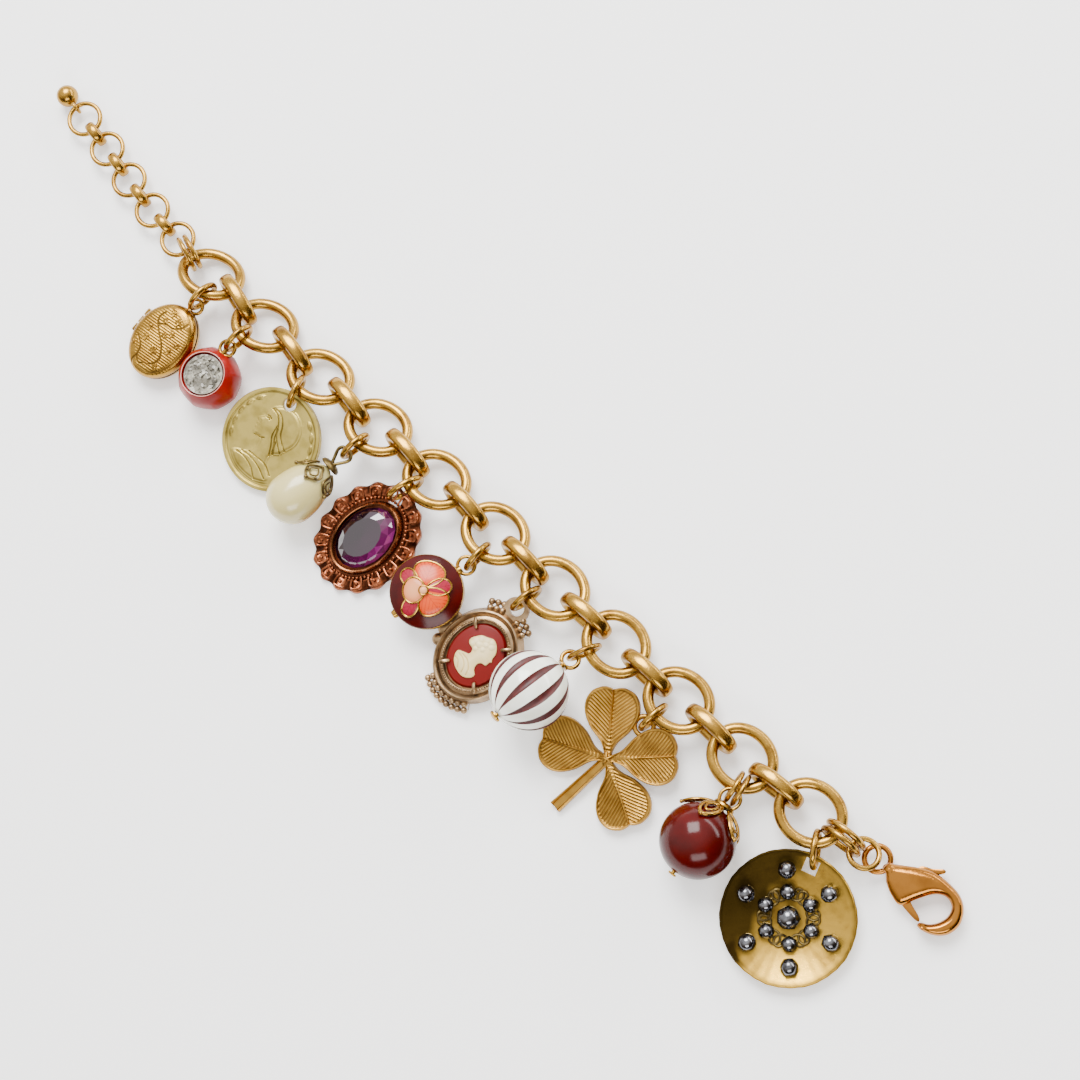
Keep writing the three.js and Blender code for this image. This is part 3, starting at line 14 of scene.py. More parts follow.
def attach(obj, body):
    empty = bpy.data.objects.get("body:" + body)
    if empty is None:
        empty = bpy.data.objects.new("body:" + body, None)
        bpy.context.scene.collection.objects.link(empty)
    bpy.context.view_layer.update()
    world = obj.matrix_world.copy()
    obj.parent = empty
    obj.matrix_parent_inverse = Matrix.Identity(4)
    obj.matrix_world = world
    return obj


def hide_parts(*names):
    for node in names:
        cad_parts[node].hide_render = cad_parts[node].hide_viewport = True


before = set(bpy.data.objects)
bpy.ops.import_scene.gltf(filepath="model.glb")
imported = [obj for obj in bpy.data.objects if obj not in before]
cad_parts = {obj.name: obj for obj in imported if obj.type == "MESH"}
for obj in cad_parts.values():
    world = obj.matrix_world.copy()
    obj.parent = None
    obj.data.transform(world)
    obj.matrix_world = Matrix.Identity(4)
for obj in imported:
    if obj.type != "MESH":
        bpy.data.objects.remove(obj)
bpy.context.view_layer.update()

bl_info = {
    "name": "Charm bracelet",
    "version": (1, 0, 0),
    "blender": (4, 5, 0),
    "location": "3D View > Sidebar > Bracelet",
    "description": "Dresses a charm bracelet with smooth links, cast charms and worn finishes",
    "category": "Object",
}

MM = 0.001
TURN = 2 * np.pi
SEED = 11
AIR = 0.3
SHARP = np.radians(38)
# Points nearer than this (m) are one
SAME = 3e-7

# Where each charm hangs (mm) and how it is turned about X, Y and Z (degrees)
PLACES = {
    "locket": ((-54.63, 0.54, 3.76), (9.0, 0.0, 0.0)),
    "coral": ((-44.57, -0.46, 6.11), (1.99, 0.17, 5.0)),
    "coin": ((-31.26, 0.37, 3.96), (10.72, 2.46, 12.77)),
    "pearl": ((-17.59, 0.32, 5.6), (0.0, 0.0, -6.0)),
    "oval": ((-7.11, 1.56, 3.76), (9.96, 0.87, 4.92)),
    "orchid": ((9.6, 1.75, 4.89), (0.83, 3.91, -12.03)),
    "cameo": ((19.54, 2.62, 2.98), (5.99, 0.31, 2.98)),
    "striped": ((31.95, 2.64, 5.35), (-15.92, 1.65, -5.77)),
    "clover": ((46.9, 3.44, 2.84), (6.97, -0.61, -4.96)),
    "dark": ((63.92, 4.86, 5.0), (-5.96, -0.73, 6.96)),
    "button": ((79.06, 5.94, 2.93), (2.82, 1.03, 19.97)),
    "clasp": ((85.77, 12.33, 0.0), (0.0, 0.0, 0.01)),
    "row": ((0.0, 0.0, 0.0), (0.0, 0.0, 0.0)),
}

# Links and rings: outer length, outer width, wire across and wire along the normal
MAIN_LINK = (11.7, 10.4, 1.8, 1.8)
JOINING_LINK = (9.8, 6.8, 1.7, 2.2)
RINGS = {
    "extender_jump_ring_1": (6.3, 0.8), "extender_jump_ring_2": (6.3, 0.8),
    "locket_jump_ring": (6.0, 1.0), "coral_jump_ring": (6.0, 1.0), "coin_jump_ring": (6.0, 1.0),
    "pearl_jump_ring": (6.0, 1.0), "oval_jump_ring": (6.8, 1.0), "orchid_jump_ring": (6.0, 1.0),
    "cameo_jump_ring": (6.0, 1.0), "striped_jump_ring": (6.0, 0.8), "clover_jump_ring": (6.0, 1.0),
    "dark_jump_ring_1": (5.6, 0.8), "dark_jump_ring_2": (5.6, 0.8), "button_jump_ring": (6.4, 1.0),
    "clasp_ring_1": (7.2, 1.0), "clasp_ring_2": (7.2, 1.0), "eye_ring": (5.5, 0.9),
}

# The extender's rings and joining links in turn: x, y and heading in degrees
EXTENDER_RING = (6.3, 0.8)
EXTENDER_JOIN = (4.5, 4.4, 1.3, 1.7)
EXTENDER_HEIGHT = 2.2
EXTENDER_PLACES = (
    (-93.84, 8.67, -7.9), (-90.37, 8.18, -8.0), (-86.91, 7.69, -8.4), (-83.45, 7.13, -9.7), (-80.0, 6.54, -9.4),
    (-76.54, 6.01, -7.7), (-73.07, 5.62, -5.3), (-69.58, 5.35, -3.8), (-66.08, 5.15, -2.6),
)
BALL_PLACE = (-99.19, 9.41, -8.0)
BALL_DIAMETER = 3.7
BALL_LOOP = (2.6, 0.6)

# Locket: a vine, its scrolls and flowers engraved on the lid
LOCKET = {"long": 6.75, "wide": 5.35, "half": 1.75, "bail": 3.0, "wire": 0.6, "shift": (0.0, -9.0, -1.225)}
LOCKET_VINES = (
    ((-2.3, 4.1), (-2.6, 2.9), (-2.0, 1.8), (-0.4, 0.6), (1.1, -0.5), (2.1, -2.0), (2.0, -3.3), (1.3, -4.1)),
    ((-2.0, 1.8), (-0.8, 2.6), (0.6, 2.9), (1.7, 3.9), (2.2, 5.1)),
    ((-3.5, -1.9), (-2.4, -2.5), (-1.7, -3.3), (-1.4, -4.4), (-0.4, -5.2), (0.3, -4.8)),
    ((-1.4, -4.4), (-1.6, -5.4), (-1.3, -6.1)),
    ((4.4, 2.6), (4.6, 0.6), (4.3, -1.6), (3.4, -3.9), (1.9, -5.6)),
)
LOCKET_FLOWERS = (
    (-0.9, 4.8, 0.62), (-2.1, -1.1, 0.66), (0.4, -1.9, 0.72), (2.6, -0.4, 0.62), (1.2, 2.1, 0.55),
    (0.7, 4.3, 0.62), (-3.3, -3.2, 0.42), (2.6, -3.6, 0.5), (-2.7, 0.5, 0.6), (0.3, 1.2, 0.5), (3.3, 1.4, 0.5),
    (-1.2, 3.2, 0.5),
)
HATCH_PITCH = 0.44

# Coral bead and its disc of rough crystal
CORAL = {"wide": 5.2, "high": 7.2, "face": 3.8, "disc": 3.3, "thick": 1.0, "bail": 3.2, "wire": 0.6}
CORAL_FACETS = 9

# Coin: a plain classical head that looks towards -X, in shares of the coin's diameter
COIN = {"radius": 8.5, "thick": 1.2, "rim": 0.7, "relief": 0.25, "hole": 1.2, "inset": 2.0, "head_turn": -12.0}
COIN_HEAD = (
    (0.02, 0.36), (-0.09, 0.335), (-0.16, 0.28), (-0.185, 0.235), (-0.2, 0.19), (-0.203, 0.165), (-0.196, 0.145),
    (-0.238, 0.078), (-0.21, 0.056), (-0.218, 0.036), (-0.206, 0.02), (-0.213, 0.0), (-0.196, -0.02),
    (-0.2, -0.05), (-0.165, -0.075), (-0.095, -0.07), (-0.08, -0.16), (-0.12, -0.24), (-0.22, -0.3),
    (-0.24, -0.35), (-0.1, -0.42), (0.1, -0.42), (0.24, -0.35), (0.25, -0.28), (0.13, -0.2), (0.11, -0.12),
    (0.17, -0.06), (0.205, 0.02), (0.235, 0.12), (0.205, 0.24), (0.125, 0.325),
)
# The cap's edge, locks of hair, the jaw, an eye and folds of the dress, as lines in the same shares
COIN_LINES = (
    ((-0.18, 0.235), (-0.1, 0.225), (-0.03, 0.16), (0.02, 0.07), (0.1, 0.0), (0.17, -0.05)),
    ((-0.165, 0.25), (-0.08, 0.25), (0.0, 0.19), (0.06, 0.09), (0.14, 0.03), (0.2, 0.0)),
    ((-0.03, 0.14), (-0.01, 0.04), (0.05, -0.05), (0.09, -0.13)),
    ((0.0, 0.12), (0.03, 0.03), (0.09, -0.05), (0.12, -0.11)),
    ((0.06, 0.02), (0.09, -0.07), (0.13, -0.15), (0.19, -0.22)),
    ((-0.06, -0.03), (-0.1, -0.055), (-0.16, -0.07)),
    ((-0.17, 0.155), (-0.14, 0.163), (-0.12, 0.15)),
    ((-0.165, 0.135), (-0.145, 0.143), (-0.13, 0.133)),
    ((-0.2, -0.31), (-0.1, -0.3), (0.02, -0.33), (0.12, -0.4)),
    ((-0.16, -0.27), (-0.04, -0.26), (0.08, -0.28), (0.2, -0.33)),
    ((-0.1, -0.23), (0.0, -0.22), (0.12, -0.22), (0.22, -0.27)),
)
COIN_LEAF_DEG = (44, 60, 76, 92, 108)

# Pearl drop and its pierced cap
PEARL = {"width": 8.4, "length": 11.8, "petals": 5, "wire": 0.6, "loop": (3.4, 2.6)}

# Oval copper frame and its stone
OVAL = {"long": 9.8, "wide": 7.9, "thick": 1.2, "ruffles": 16, "band": 2.6, "hole": 1.3, "inset": 2.0,
        "turn": -12.0, "stone": (5.7, 4.1, 2.4), "wall": 0.9, "bezel": 1.1}

# Orchid bead: flower parts on the dome, root, length, width (shares of the radius), turn, taper and finish
ORCHID = {"radius": 5.95, "thick": 5.4, "edge": 1.6, "relief": 0.35, "loop": 3.4, "wire": 0.6}
ORCHID_BLOOMS = (
    ((-0.4, 0.2), 0.72, 0.78, 128, 0.3, 1), ((-0.2, 0.1), 0.72, 0.78, 2, 0.3, 1),
    ((0.0, 0.0), 0.72, 0.42, 68, 0.4, 2), ((-0.6, -0.4), 0.7, 0.4, 190, 0.4, 2),
    ((-0.2, -0.8), 0.72, 0.4, 292, 0.4, 2), ((0.2, 0.2), 0.62, 0.56, 232, 0.1, 3),
)

# Cameo: its frame, stone and a plain classical bust that looks towards +X, in shares of the stone's length
CAMEO = {"long": 8.1, "wide": 6.85, "thick": 1.4, "rim": 1.3, "rise": 1.1, "stone": (5.45, 4.5, 1.3),
         "relief": 0.5, "bead": 1.1, "ear": 4.2, "hole": 1.2}
CAMEO_BUST = (
    (-0.02, 0.33), (0.06, 0.36), (0.14, 0.33), (0.2, 0.27), (0.235, 0.2), (0.24, 0.13), (0.265, 0.08),
    (0.24, 0.055), (0.235, 0.02), (0.22, -0.02), (0.15, -0.035), (0.12, -0.08), (0.13, -0.15), (0.19, -0.22),
    (0.16, -0.3), (0.06, -0.36), (-0.06, -0.35), (-0.18, -0.29), (-0.25, -0.19), (-0.25, -0.1), (-0.17, -0.06),
    (-0.09, -0.03), (-0.1, 0.04), (-0.19, 0.07), (-0.22, 0.14), (-0.18, 0.22), (-0.12, 0.29),
)
CAMEO_CURLS = (
    (0.0, 0.29, 0.06), (0.08, 0.3, 0.05), (-0.08, 0.25, 0.06), (0.03, 0.22, 0.05), (-0.13, 0.18, 0.06),
    (-0.05, 0.16, 0.05), (0.12, 0.25, 0.05), (-0.14, 0.11, 0.05), (0.04, 0.14, 0.04), (-0.06, 0.08, 0.04),
)
CAMEO_FOLDS = (
    ((-0.2, -0.13), (-0.1, -0.15), (-0.02, -0.22), (0.0, -0.32)),
    ((-0.15, -0.1), (-0.04, -0.12), (0.05, -0.2), (0.08, -0.3)),
    ((-0.22, -0.2), (-0.14, -0.22), (-0.09, -0.3)),
)

# Striped ball on its pin, and the dark bead in its cap
STRIPED = {"radius": 6.2, "stripes": 12, "depth": 0.3, "pin": 0.7, "head": 2.0, "loop": 3.4}
DARK = {"radius": 5.85, "petals": 5, "wire": 0.6, "pin": 0.6, "head": 1.4, "loop": 3.8}

# Clover
CLOVER = {"reach": 11.2, "wide": 4.4, "thick": 0.8, "rib": 0.35, "stem": 2.0, "leaves": (51, 133, 212, 338),
          "stem_deg": 271, "bail": 3.8, "wire": 0.8}

# Button: dish, steel beads and wire curls
BUTTON = {"radius": 10.4, "sheet": 0.7, "dip": 2.2, "hole": 2.2, "inset": 2.0, "centre": 3.8, "inner": 2.6,
          "outer": 2.9, "inner_ring": 3.9, "outer_ring": 7.2, "count": 6, "start": 55}

# Clasp: outlines in shares of its length and width
CLASP = {"length": 15.4, "width": 7.8, "thick": 3.4, "eye": (4.8, 0.9)}
CLASP_OUTLINE = (
    (0.1, 0.1), (0.16, 0.17), (0.34, 0.44), (0.5, 0.59), (0.7, 0.62), (0.83, 0.57), (0.93, 0.42), (0.99, 0.18),
    (0.98, -0.06), (0.93, -0.22), (0.85, -0.34), (0.76, -0.4), (0.7, -0.39), (0.71, -0.3), (0.78, -0.2),
    (0.83, -0.05), (0.85, 0.14), (0.82, 0.31), (0.75, 0.38), (0.68, 0.36), (0.61, 0.24), (0.54, -0.02),
    (0.46, -0.34), (0.33, -0.32), (0.22, -0.22), (0.15, -0.1), (0.1, -0.08),
)
CLASP_LEVER = (
    (0.32, 0.24), (0.345, 0.48), (0.44, 0.6), (0.52, 0.74), (0.555, 0.7), (0.5, 0.52), (0.455, 0.28),
    (0.45, 0.06), (0.49, -0.13), (0.67, -0.25), (0.665, -0.34), (0.44, -0.3), (0.36, -0.16), (0.315, 0.06),
)


# ---------------------------------------------------------------- shapes

def grid(points, wrap_rows=False, wrap_columns=True, tone=0.0):
    """A surface from rows and columns of points, joined in four-sided faces; either way may close on itself."""
    rows, columns = points.shape[:2]
    order = np.arange(rows * columns).reshape(rows, columns)
    if wrap_columns:
        order = np.concatenate([order, order[:, :1]], axis=1)
    if wrap_rows:
        order = np.concatenate([order, order[:1]], axis=0)
    faces = np.stack([order[:-1, :-1], order[1:, :-1], order[1:, 1:], order[:-1, 1:]], axis=-1).reshape(-1, 4)
    tones = np.broadcast_to(tone, (rows, columns)).reshape(-1)
    return points.reshape(-1, 3), faces, tones


def unit(vectors):
    return vectors / np.maximum(np.linalg.norm(vectors, axis=-1, keepdims=True), 1e-12)


def flowing(points, count, closed=False):
    """A smooth curve through a few points (Catmull-Rom cubic between neighbours), as evenly numbered samples."""
    points = np.asarray(points, float)
    last = len(points) if closed else len(points) - 1
    share = np.linspace(0, last, count, endpoint=not closed)
    start = np.minimum(share.astype(int), last - 1)
    part = (share - start)[:, None]

    def pick(step):
        index = start + step
        return points[index % len(points)] if closed else points[np.clip(index, 0, len(points) - 1)]

    before, here, after, beyond = pick(-1), pick(0), pick(1), pick(2)
    return 0.5 * (2 * here + (after - before) * part + (2 * before - 5 * here + 4 * after - beyond) * part ** 2
                  + (3 * here - before - 3 * after + beyond) * part ** 3)


def wire(path, radius, closed=True, up=(0, 0, 1), sides=12, flat=1.0, tone=0.0):
    """A round section carried along a path: each ring lies across the path's direction.
    An open wire ends in round caps. flat stretches the section along the up direction."""
    path = np.asarray(path, float)
    reach = np.full(len(path), float(radius))
    if closed:
        along = unit(np.roll(path, -1, axis=0) - np.roll(path, 1, axis=0))
    else:
        along = unit(np.gradient(path, axis=0))
        rise = np.array([0.0, 0.5, 0.87, 1.0])
        back = np.sqrt(1 - rise ** 2)[:, None] * radius
        path = np.concatenate([path[0] - along[0] * back, path, path[-1] + along[-1] * back[::-1]])
        along = np.concatenate([np.repeat(along[:1], 4, axis=0), along, np.repeat(along[-1:], 4, axis=0)])
        reach = np.concatenate([rise * radius, reach, rise[::-1] * radius])
    up = np.broadcast_to(np.asarray(up, float), (len(path), 3)) if np.ndim(up) == 1 else up
    side = unit(np.cross(up, along))
    lift = np.cross(along, side)
    turn = np.arange(sides) / sides * TURN
    points = (path[:, None] + reach[:, None, None] * (np.cos(turn)[:, None] * side[:, None]
              + flat * np.sin(turn)[:, None] * lift[:, None]))
    return grid(points, wrap_rows=closed, tone=tone)


def oval_ring(length, width, across, along, rows=96, sides=18, square=1.0):
    """An oval link in the XY plane: a rounded section carried round an ellipse. square over 1 fills its corners."""
    a, b = (length - across) / 2, (width - across) / 2
    turn = np.arange(rows) / rows * TURN
    centre = np.stack([a * np.cos(turn), b * np.sin(turn), np.zeros(rows)], axis=1)
    outward = unit(np.stack([b * np.cos(turn), a * np.sin(turn), np.zeros(rows)], axis=1))
    section = np.arange(sides) / sides * TURN
    out = np.sign(np.cos(section)) * np.abs(np.cos(section)) ** (1 / square) * across / 2
    high = np.sign(np.sin(section)) * np.abs(np.sin(section)) ** (1 / square) * along / 2
    points = centre[:, None] + outward[:, None] * out[:, None] + np.array([0, 0, 1.0]) * high[:, None]
    return grid(points, wrap_rows=True)


def ring(outer, across, at=(0, 0, 0), rows=64, sides=12):
    points, faces, tones = oval_ring(outer, outer, across, across, rows, sides)
    return points + np.asarray(at, float), faces, tones


def lathe(profile, steps=96, axis="z", oval=1.0, tone=0.0):
    """A profile of radius and height turned round an axis; oval narrows it along X."""
    profile = np.asarray(profile, float)
    turn = np.arange(steps) / steps * TURN
    across = profile[:, :1] * np.cos(turn) * oval
    other = profile[:, :1] * np.sin(turn)
    high = np.broadcast_to(profile[:, 1:2], across.shape)
    points = np.stack([across, other, high] if axis == "z" else [across, high, other], axis=-1)
    return grid(points, tone=tone)


def bead(centre, radius, rows=8, columns=12, tone=0.0, squash=1.0):
    """A sphere as rows of circles from pole to pole, each as wide as the sine of its angle."""
    down = np.linspace(0, np.pi, rows)[:, None]
    turn = np.arange(columns) / columns * TURN
    points = np.stack([radius * np.sin(down) * np.cos(turn), radius * np.sin(down) * np.sin(turn),
                       squash * radius * np.cos(down) * np.ones_like(turn)], axis=-1)
    return grid(points + np.asarray(centre, float), tone=tone)


def relief(outline, height, edge, rows=150, under=0.0, marks=None):
    """A body with a worked face: points lie at shares of the outline's reach from the middle, each raised to
    height(x, y, share); edge gives the shares and heights of the side wall, and under the flat bottom."""
    share = np.linspace(0, 1, rows)[:, None]
    x, y = share * outline[:, 0], share * outline[:, 1]
    z = height(x, y, share * np.ones_like(x))
    tone = marks(x, y, share * np.ones_like(x)) if marks else np.zeros_like(x)
    wall = np.array([[s, h] for s, h in edge] + [[0.0, under]])
    points = np.stack([x, y, z], axis=-1)
    low = np.stack([wall[:, :1] * outline[:, 0], wall[:, :1] * outline[:, 1],
                    wall[:, 1:] * np.ones(len(outline))], axis=-1)
    tones = np.concatenate([tone, np.full(low.shape[:2], 0.3)])
    return grid(np.concatenate([points, low]), tone=tones)


def circle(wide, long, steps):
    turn = np.arange(steps) / steps * TURN
    return np.stack([wide * np.cos(turn), long * np.sin(turn)], axis=1)


def away_from(x, y, path):
    """The distance of every point from the nearest stretch of a path, taken one stretch at a time."""
    least = np.full(np.shape(x), np.inf)
    for (ax, ay), (bx, by) in zip(path[:-1], path[1:]):
        dx, dy = bx - ax, by - ay
        part = np.clip(((x - ax) * dx + (y - ay) * dy) / max(dx * dx + dy * dy, 1e-12), 0, 1)
        least = np.minimum(least, np.hypot(x - ax - part * dx, y - ay - part * dy))
    return least


def within(x, y, outline):
    """Distance from an outline, positive inside it: a point is inside when a line from it crosses an odd number of
    sides."""
    odd = np.zeros(np.shape(x), bool)
    for (ax, ay), (bx, by) in zip(outline, np.roll(outline, -1, axis=0)):
        if ay != by:
            odd ^= ((ay > y) != (by > y)) & (x < (bx - ax) * (y - ay) / (by - ay) + ax)
    edge = away_from(x, y, np.concatenate([outline, outline[:1]]))
    return np.where(odd, edge, -edge)


def step(value, low, high):
    part = np.clip((value - low) / (high - low), 0, 1)
    return part * part * (3 - 2 * part)


def ridge(distance, width):
    """1 on a line, falling to 0 at the given distance from it."""
    return 1 - step(distance, 0, width)


def slab(outline, low, high, rows=((0.0, 0.0),), tone=0.0, most=None):
    """A flat body from an outline: rings drawn in by rows of inset and rise, closed by triangles on both faces.
    With most, an inset of 1 is that length, or nearly half the body's width there where that is less."""
    outline = np.asarray(outline, float)
    room = 1.0
    if most is not None:
        count = len(outline)
        gap = np.linalg.norm(outline[:, None] - outline[None], axis=2)
        apart = np.abs(np.arange(count)[:, None] - np.arange(count)[None])
        gap[np.minimum(apart, count - apart) < count // 9] = np.inf
        room = np.minimum(most, 0.44 * gap.min(axis=1))
        for shift in (1, 2, 3, 5):
            room = (room + np.roll(room, shift) + np.roll(room, -shift)) / 3
        room = room[:, None]
    along = unit(np.roll(outline, -1, axis=0) - np.roll(outline, 1, axis=0))
    area = np.sum(outline[:, 0] * np.roll(outline[:, 1], -1) - outline[:, 1] * np.roll(outline[:, 0], -1))
    inward = np.stack([-along[:, 1], along[:, 0]], axis=1) * np.sign(area)
    rings = [(inset, low + rise) for inset, rise in rows]
    rings += [(inset, high - rise) for inset, rise in reversed(rows)]
    points = np.stack([np.concatenate([outline + inward * inset * room, np.full((len(outline), 1), z)], axis=1)
                       for inset, z in rings])
    flat, faces, tones = grid(points, tone=tone)
    caps = np.array(tessellate_polygon([[Vector((x, y, 0)) for x, y in points[0][:, :2]]]))
    caps = np.concatenate([caps, caps[:, 2:]], axis=1)
    return flat, np.concatenate([faces, caps, caps + len(flat) - len(outline)]), tones


def moved(part, at=(0, 0, 0), turn=0.0, tilt=(0.0, 0.0)):
    """A part turned about X, then Y (tilt), then Z (turn), in degrees, and moved."""
    points, faces, tones = part
    spin = (Matrix.Rotation(np.radians(turn), 3, "Z") @ Matrix.Rotation(np.radians(tilt[1]), 3, "Y")
            @ Matrix.Rotation(np.radians(tilt[0]), 3, "X"))
    return points @ np.array(spin).T + np.asarray(at, float), faces, tones


def lay(place):
    """Where a charm hangs and its turn about X, Y and Z as a matrix."""
    at, turned = PLACES[place]
    turn = Matrix.Rotation(np.radians(turned[0]), 3, "X") @ Matrix.Rotation(np.radians(turned[1]), 3, "Y")
    return at, np.array(turn @ Matrix.Rotation(np.radians(turned[2]), 3, "Z"))


def make(name, parts, place="row", shift=(0, 0, 0), body="bracelet", drill=None):
    """One mesh object of all its parts, placed like its charm. Each part is a surface, a material and whether it
    is smooth. drill is a closed part that is cut out of the first of them."""
    at, turn = lay(place)

    def placed(pieces):
        verts, faces, tones, finish, soft = [], [], [], [], []
        count = 0
        for (points, quads, tone), material, smooth in pieces:
            verts.append((points + np.asarray(shift)) @ turn.T + np.asarray(at))
            faces.append(quads + count)
            tones.append(tone)
            finish.append(np.full(len(quads), material))
            soft.append(np.full(len(quads), smooth))
            count += len(points)
        return [np.concatenate(rows) for rows in (verts, faces, tones, finish, soft)]

    names = list(dict.fromkeys(material for _, material, _ in parts))
    parts = [(part, names.index(material), smooth) for part, material, smooth in parts]

    def finished(pieces):
        verts, faces, tones, finish, soft = placed(pieces)
        mesh = mesh_of(name, verts * MM, faces, tones, finish, soft)
        for material in names:
            mesh.materials.append(bpy.data.materials[material])
        return mesh

    made = bpy.data.objects.new(name + "_worked", finished(parts if drill is None else parts[:1]))
    bpy.context.scene.collection.objects.link(made)
    if drill is not None:
        points, quads, tone, _, _ = placed([(drill, 0, True)])
        cutter = bpy.data.objects.new(name + "_drill", mesh_of(name + "_drill", points * MM, quads, tone))
        bpy.context.scene.collection.objects.link(cutter)
        cut = made.modifiers.new("hole", "BOOLEAN")
        cut.operation, cut.object, cut.solver = "DIFFERENCE", cutter, "EXACT"
        bpy.context.view_layer.update()
        fresh = bpy.data.meshes.new_from_object(made.evaluated_get(bpy.context.evaluated_depsgraph_get()))
        made.modifiers.clear()
        made.data = fresh
        bpy.data.objects.remove(cutter)
        if len(parts) > 1:
            both = bmesh.new()
            both.from_mesh(fresh)
            both.from_mesh(finished(parts[1:]))
            both.to_mesh(fresh)
            both.free()
    made.data.set_sharp_from_angle(angle=SHARP)
    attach(made, body)
    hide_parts(name)
    return made


def mesh_of(name, verts, faces, tones, finish=None, soft=None):
    """A mesh from arrays: doubled points at poles and seams are merged and every shell's faces turned outward."""
    mesh = bpy.data.meshes.new(name)
    mesh.from_pydata(verts.tolist(), [], faces.tolist())
    mesh.attributes.new("tone", "FLOAT", "POINT").data.foreach_set("value", np.asarray(tones, np.float32))
    if finish is not None:
        mesh.polygons.foreach_set("material_index", finish.astype(np.int32))
        mesh.polygons.foreach_set("use_smooth", soft)
    work = bmesh.new()
    work.from_mesh(mesh)
    bmesh.ops.remove_doubles(work, verts=work.verts, dist=SAME)
    bmesh.ops.dissolve_degenerate(work, dist=1e-8, edges=work.edges)
    bmesh.ops.recalc_face_normals(work, faces=work.faces)
    work.to_mesh(mesh)
    work.free()
    return mesh


def lie(node):
    """How a CAD link lies: its centre, its long and short directions and its normal, from its own points."""
    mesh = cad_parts[node].data
    points = np.empty(len(mesh.vertices) * 3, np.float32)
    mesh.vertices.foreach_get("co", points)
    points = np.unique(np.round(points.reshape(-1, 3) / MM, 3), axis=0).astype(float)
    centre = points.mean(axis=0)
    return centre, np.linalg.svd(points - centre)[2]


# ---------------------------------------------------------------- finishes

def linear(colour):
    """An sRGB hex colour as linear light: the standard curve, each channel by itself."""
    parts = [int(colour[i:i + 2], 16) / 255 for i in (1, 3, 5)]
    return tuple(c / 12.92 if c <= 0.04045 else ((c + 0.055) / 1.055) ** 2.4 for c in parts) + (1.0,)


def add(tree, kind, inputs=(), **settings):
    """Adds a node with its settings; an input is a value or the socket that feeds it."""
    made = tree.nodes.new(kind)
    for key, value in settings.items():
        setattr(made, key, value)
    for key, value in dict(inputs).items():
        if isinstance(value, bpy.types.NodeSocket):
            tree.links.new(value, made.inputs[key])
        else:
            made.inputs[key].default_value = value
    return made


def blank(name):
    material = bpy.data.materials.new(name)
    material.use_nodes = True
    material.node_tree.nodes.clear()
    return material.node_tree


def finish_with(tree, inputs):
    shader = add(tree, "ShaderNodeBsdfPrincipled", inputs)
    add(tree, "ShaderNodeOutputMaterial", {"Surface": shader.outputs[0]})
    return shader


def speckle(tree, size_mm, detail=3.0, stretch=(1, 1, 1)):
    """A cloud pattern whose patches are about the given size."""
    place = add(tree, "ShaderNodeTexCoord").outputs["Object"]
    spread = add(tree, "ShaderNodeMapping", {"Vector": place, "Scale": stretch}).outputs[0]
    cloud = add(tree, "ShaderNodeTexNoise", {"Vector": spread, "Scale": 1 / (size_mm * MM), "Detail": detail})
    return cloud.outputs["Fac"]


def ramp(tree, value, stops):
    """Colours along a value from 0 to 1."""
    made = add(tree, "ShaderNodeValToRGB", {"Fac": value})
    while len(made.color_ramp.elements) < len(stops):
        made.color_ramp.elements.new(0.5)
    for element, (at, colour) in zip(made.color_ramp.elements, stops):
        element.position = at
        element.color = linear(colour)
    return made.outputs["Color"]


def levels(tree, value, low, high, to_low=0.0, to_high=1.0):
    made = add(tree, "ShaderNodeMapRange", {"Value": value, "From Min": low, "From Max": high,
                                            "To Min": to_low, "To Max": to_high})
    return made.outputs[0]


def sums(tree, operation, *values):
    return add(tree, "ShaderNodeMath", dict(enumerate(values)), operation=operation, use_clamp=True).outputs[0]


def metal(name, bright, dark, rough, patina_mm=3.0, patina=(0.5, 0.75), scratch=0.00001, recess_and_shade="#3a240c"):
    """Worn metal: a bright tone that darkens in patches and where its tone is high, which marks the recesses and, on
    the button, a painted shade on one side; with fine scratches and soft dents.
    """
    tree = blank(name)
    patches = levels(tree, speckle(tree, patina_mm), *patina)
    colour = ramp(tree, patches, ((0.0, bright), (1.0, dark)))
    tone = add(tree, "ShaderNodeAttribute", attribute_name="tone").outputs["Fac"]
    shade = add(tree, "ShaderNodeMix", {0: tone, 6: colour, 7: linear(recess_and_shade)}, data_type="RGBA")
    grain = speckle(tree, 0.35, 5.0, (1, 3, 1))
    roughness = sums(tree, "ADD", levels(tree, grain, 0.3, 0.7, rough * 0.75, rough * 1.25),
                     sums(tree, "MULTIPLY", tone, 0.3))
    dents = add(tree, "ShaderNodeBump", {"Strength": 0.5, "Distance": scratch * 6, "Height": speckle(tree, 1.6)})
    bumps = add(tree, "ShaderNodeBump", {"Strength": 0.6, "Distance": scratch, "Height": grain,
                                         "Normal": dents.outputs[0]})
    finish_with(tree, {"Base Color": shade.outputs[2], "Metallic": 1.0, "Roughness": roughness,
                       "Normal": bumps.outputs[0]})


def gloss(name, stops, rough, by=None, patch_mm=2.5, bump=0.00002, bump_mm=0.8, **extra):
    """A shiny body whose colour runs over patches, or by the tone that its surface carries."""
    tree = blank(name)
    if by == "tone":
        value = add(tree, "ShaderNodeAttribute", attribute_name="tone").outputs["Fac"]
    else:
        value = levels(tree, speckle(tree, patch_mm), 0.32, 0.68)
    waves = add(tree, "ShaderNodeBump", {"Strength": 0.5, "Distance": bump, "Height": speckle(tree, bump_mm)})
    finish_with(tree, {"Base Color": ramp(tree, value, stops), "Roughness": rough, "Normal": waves.outputs[0],
                       **extra})


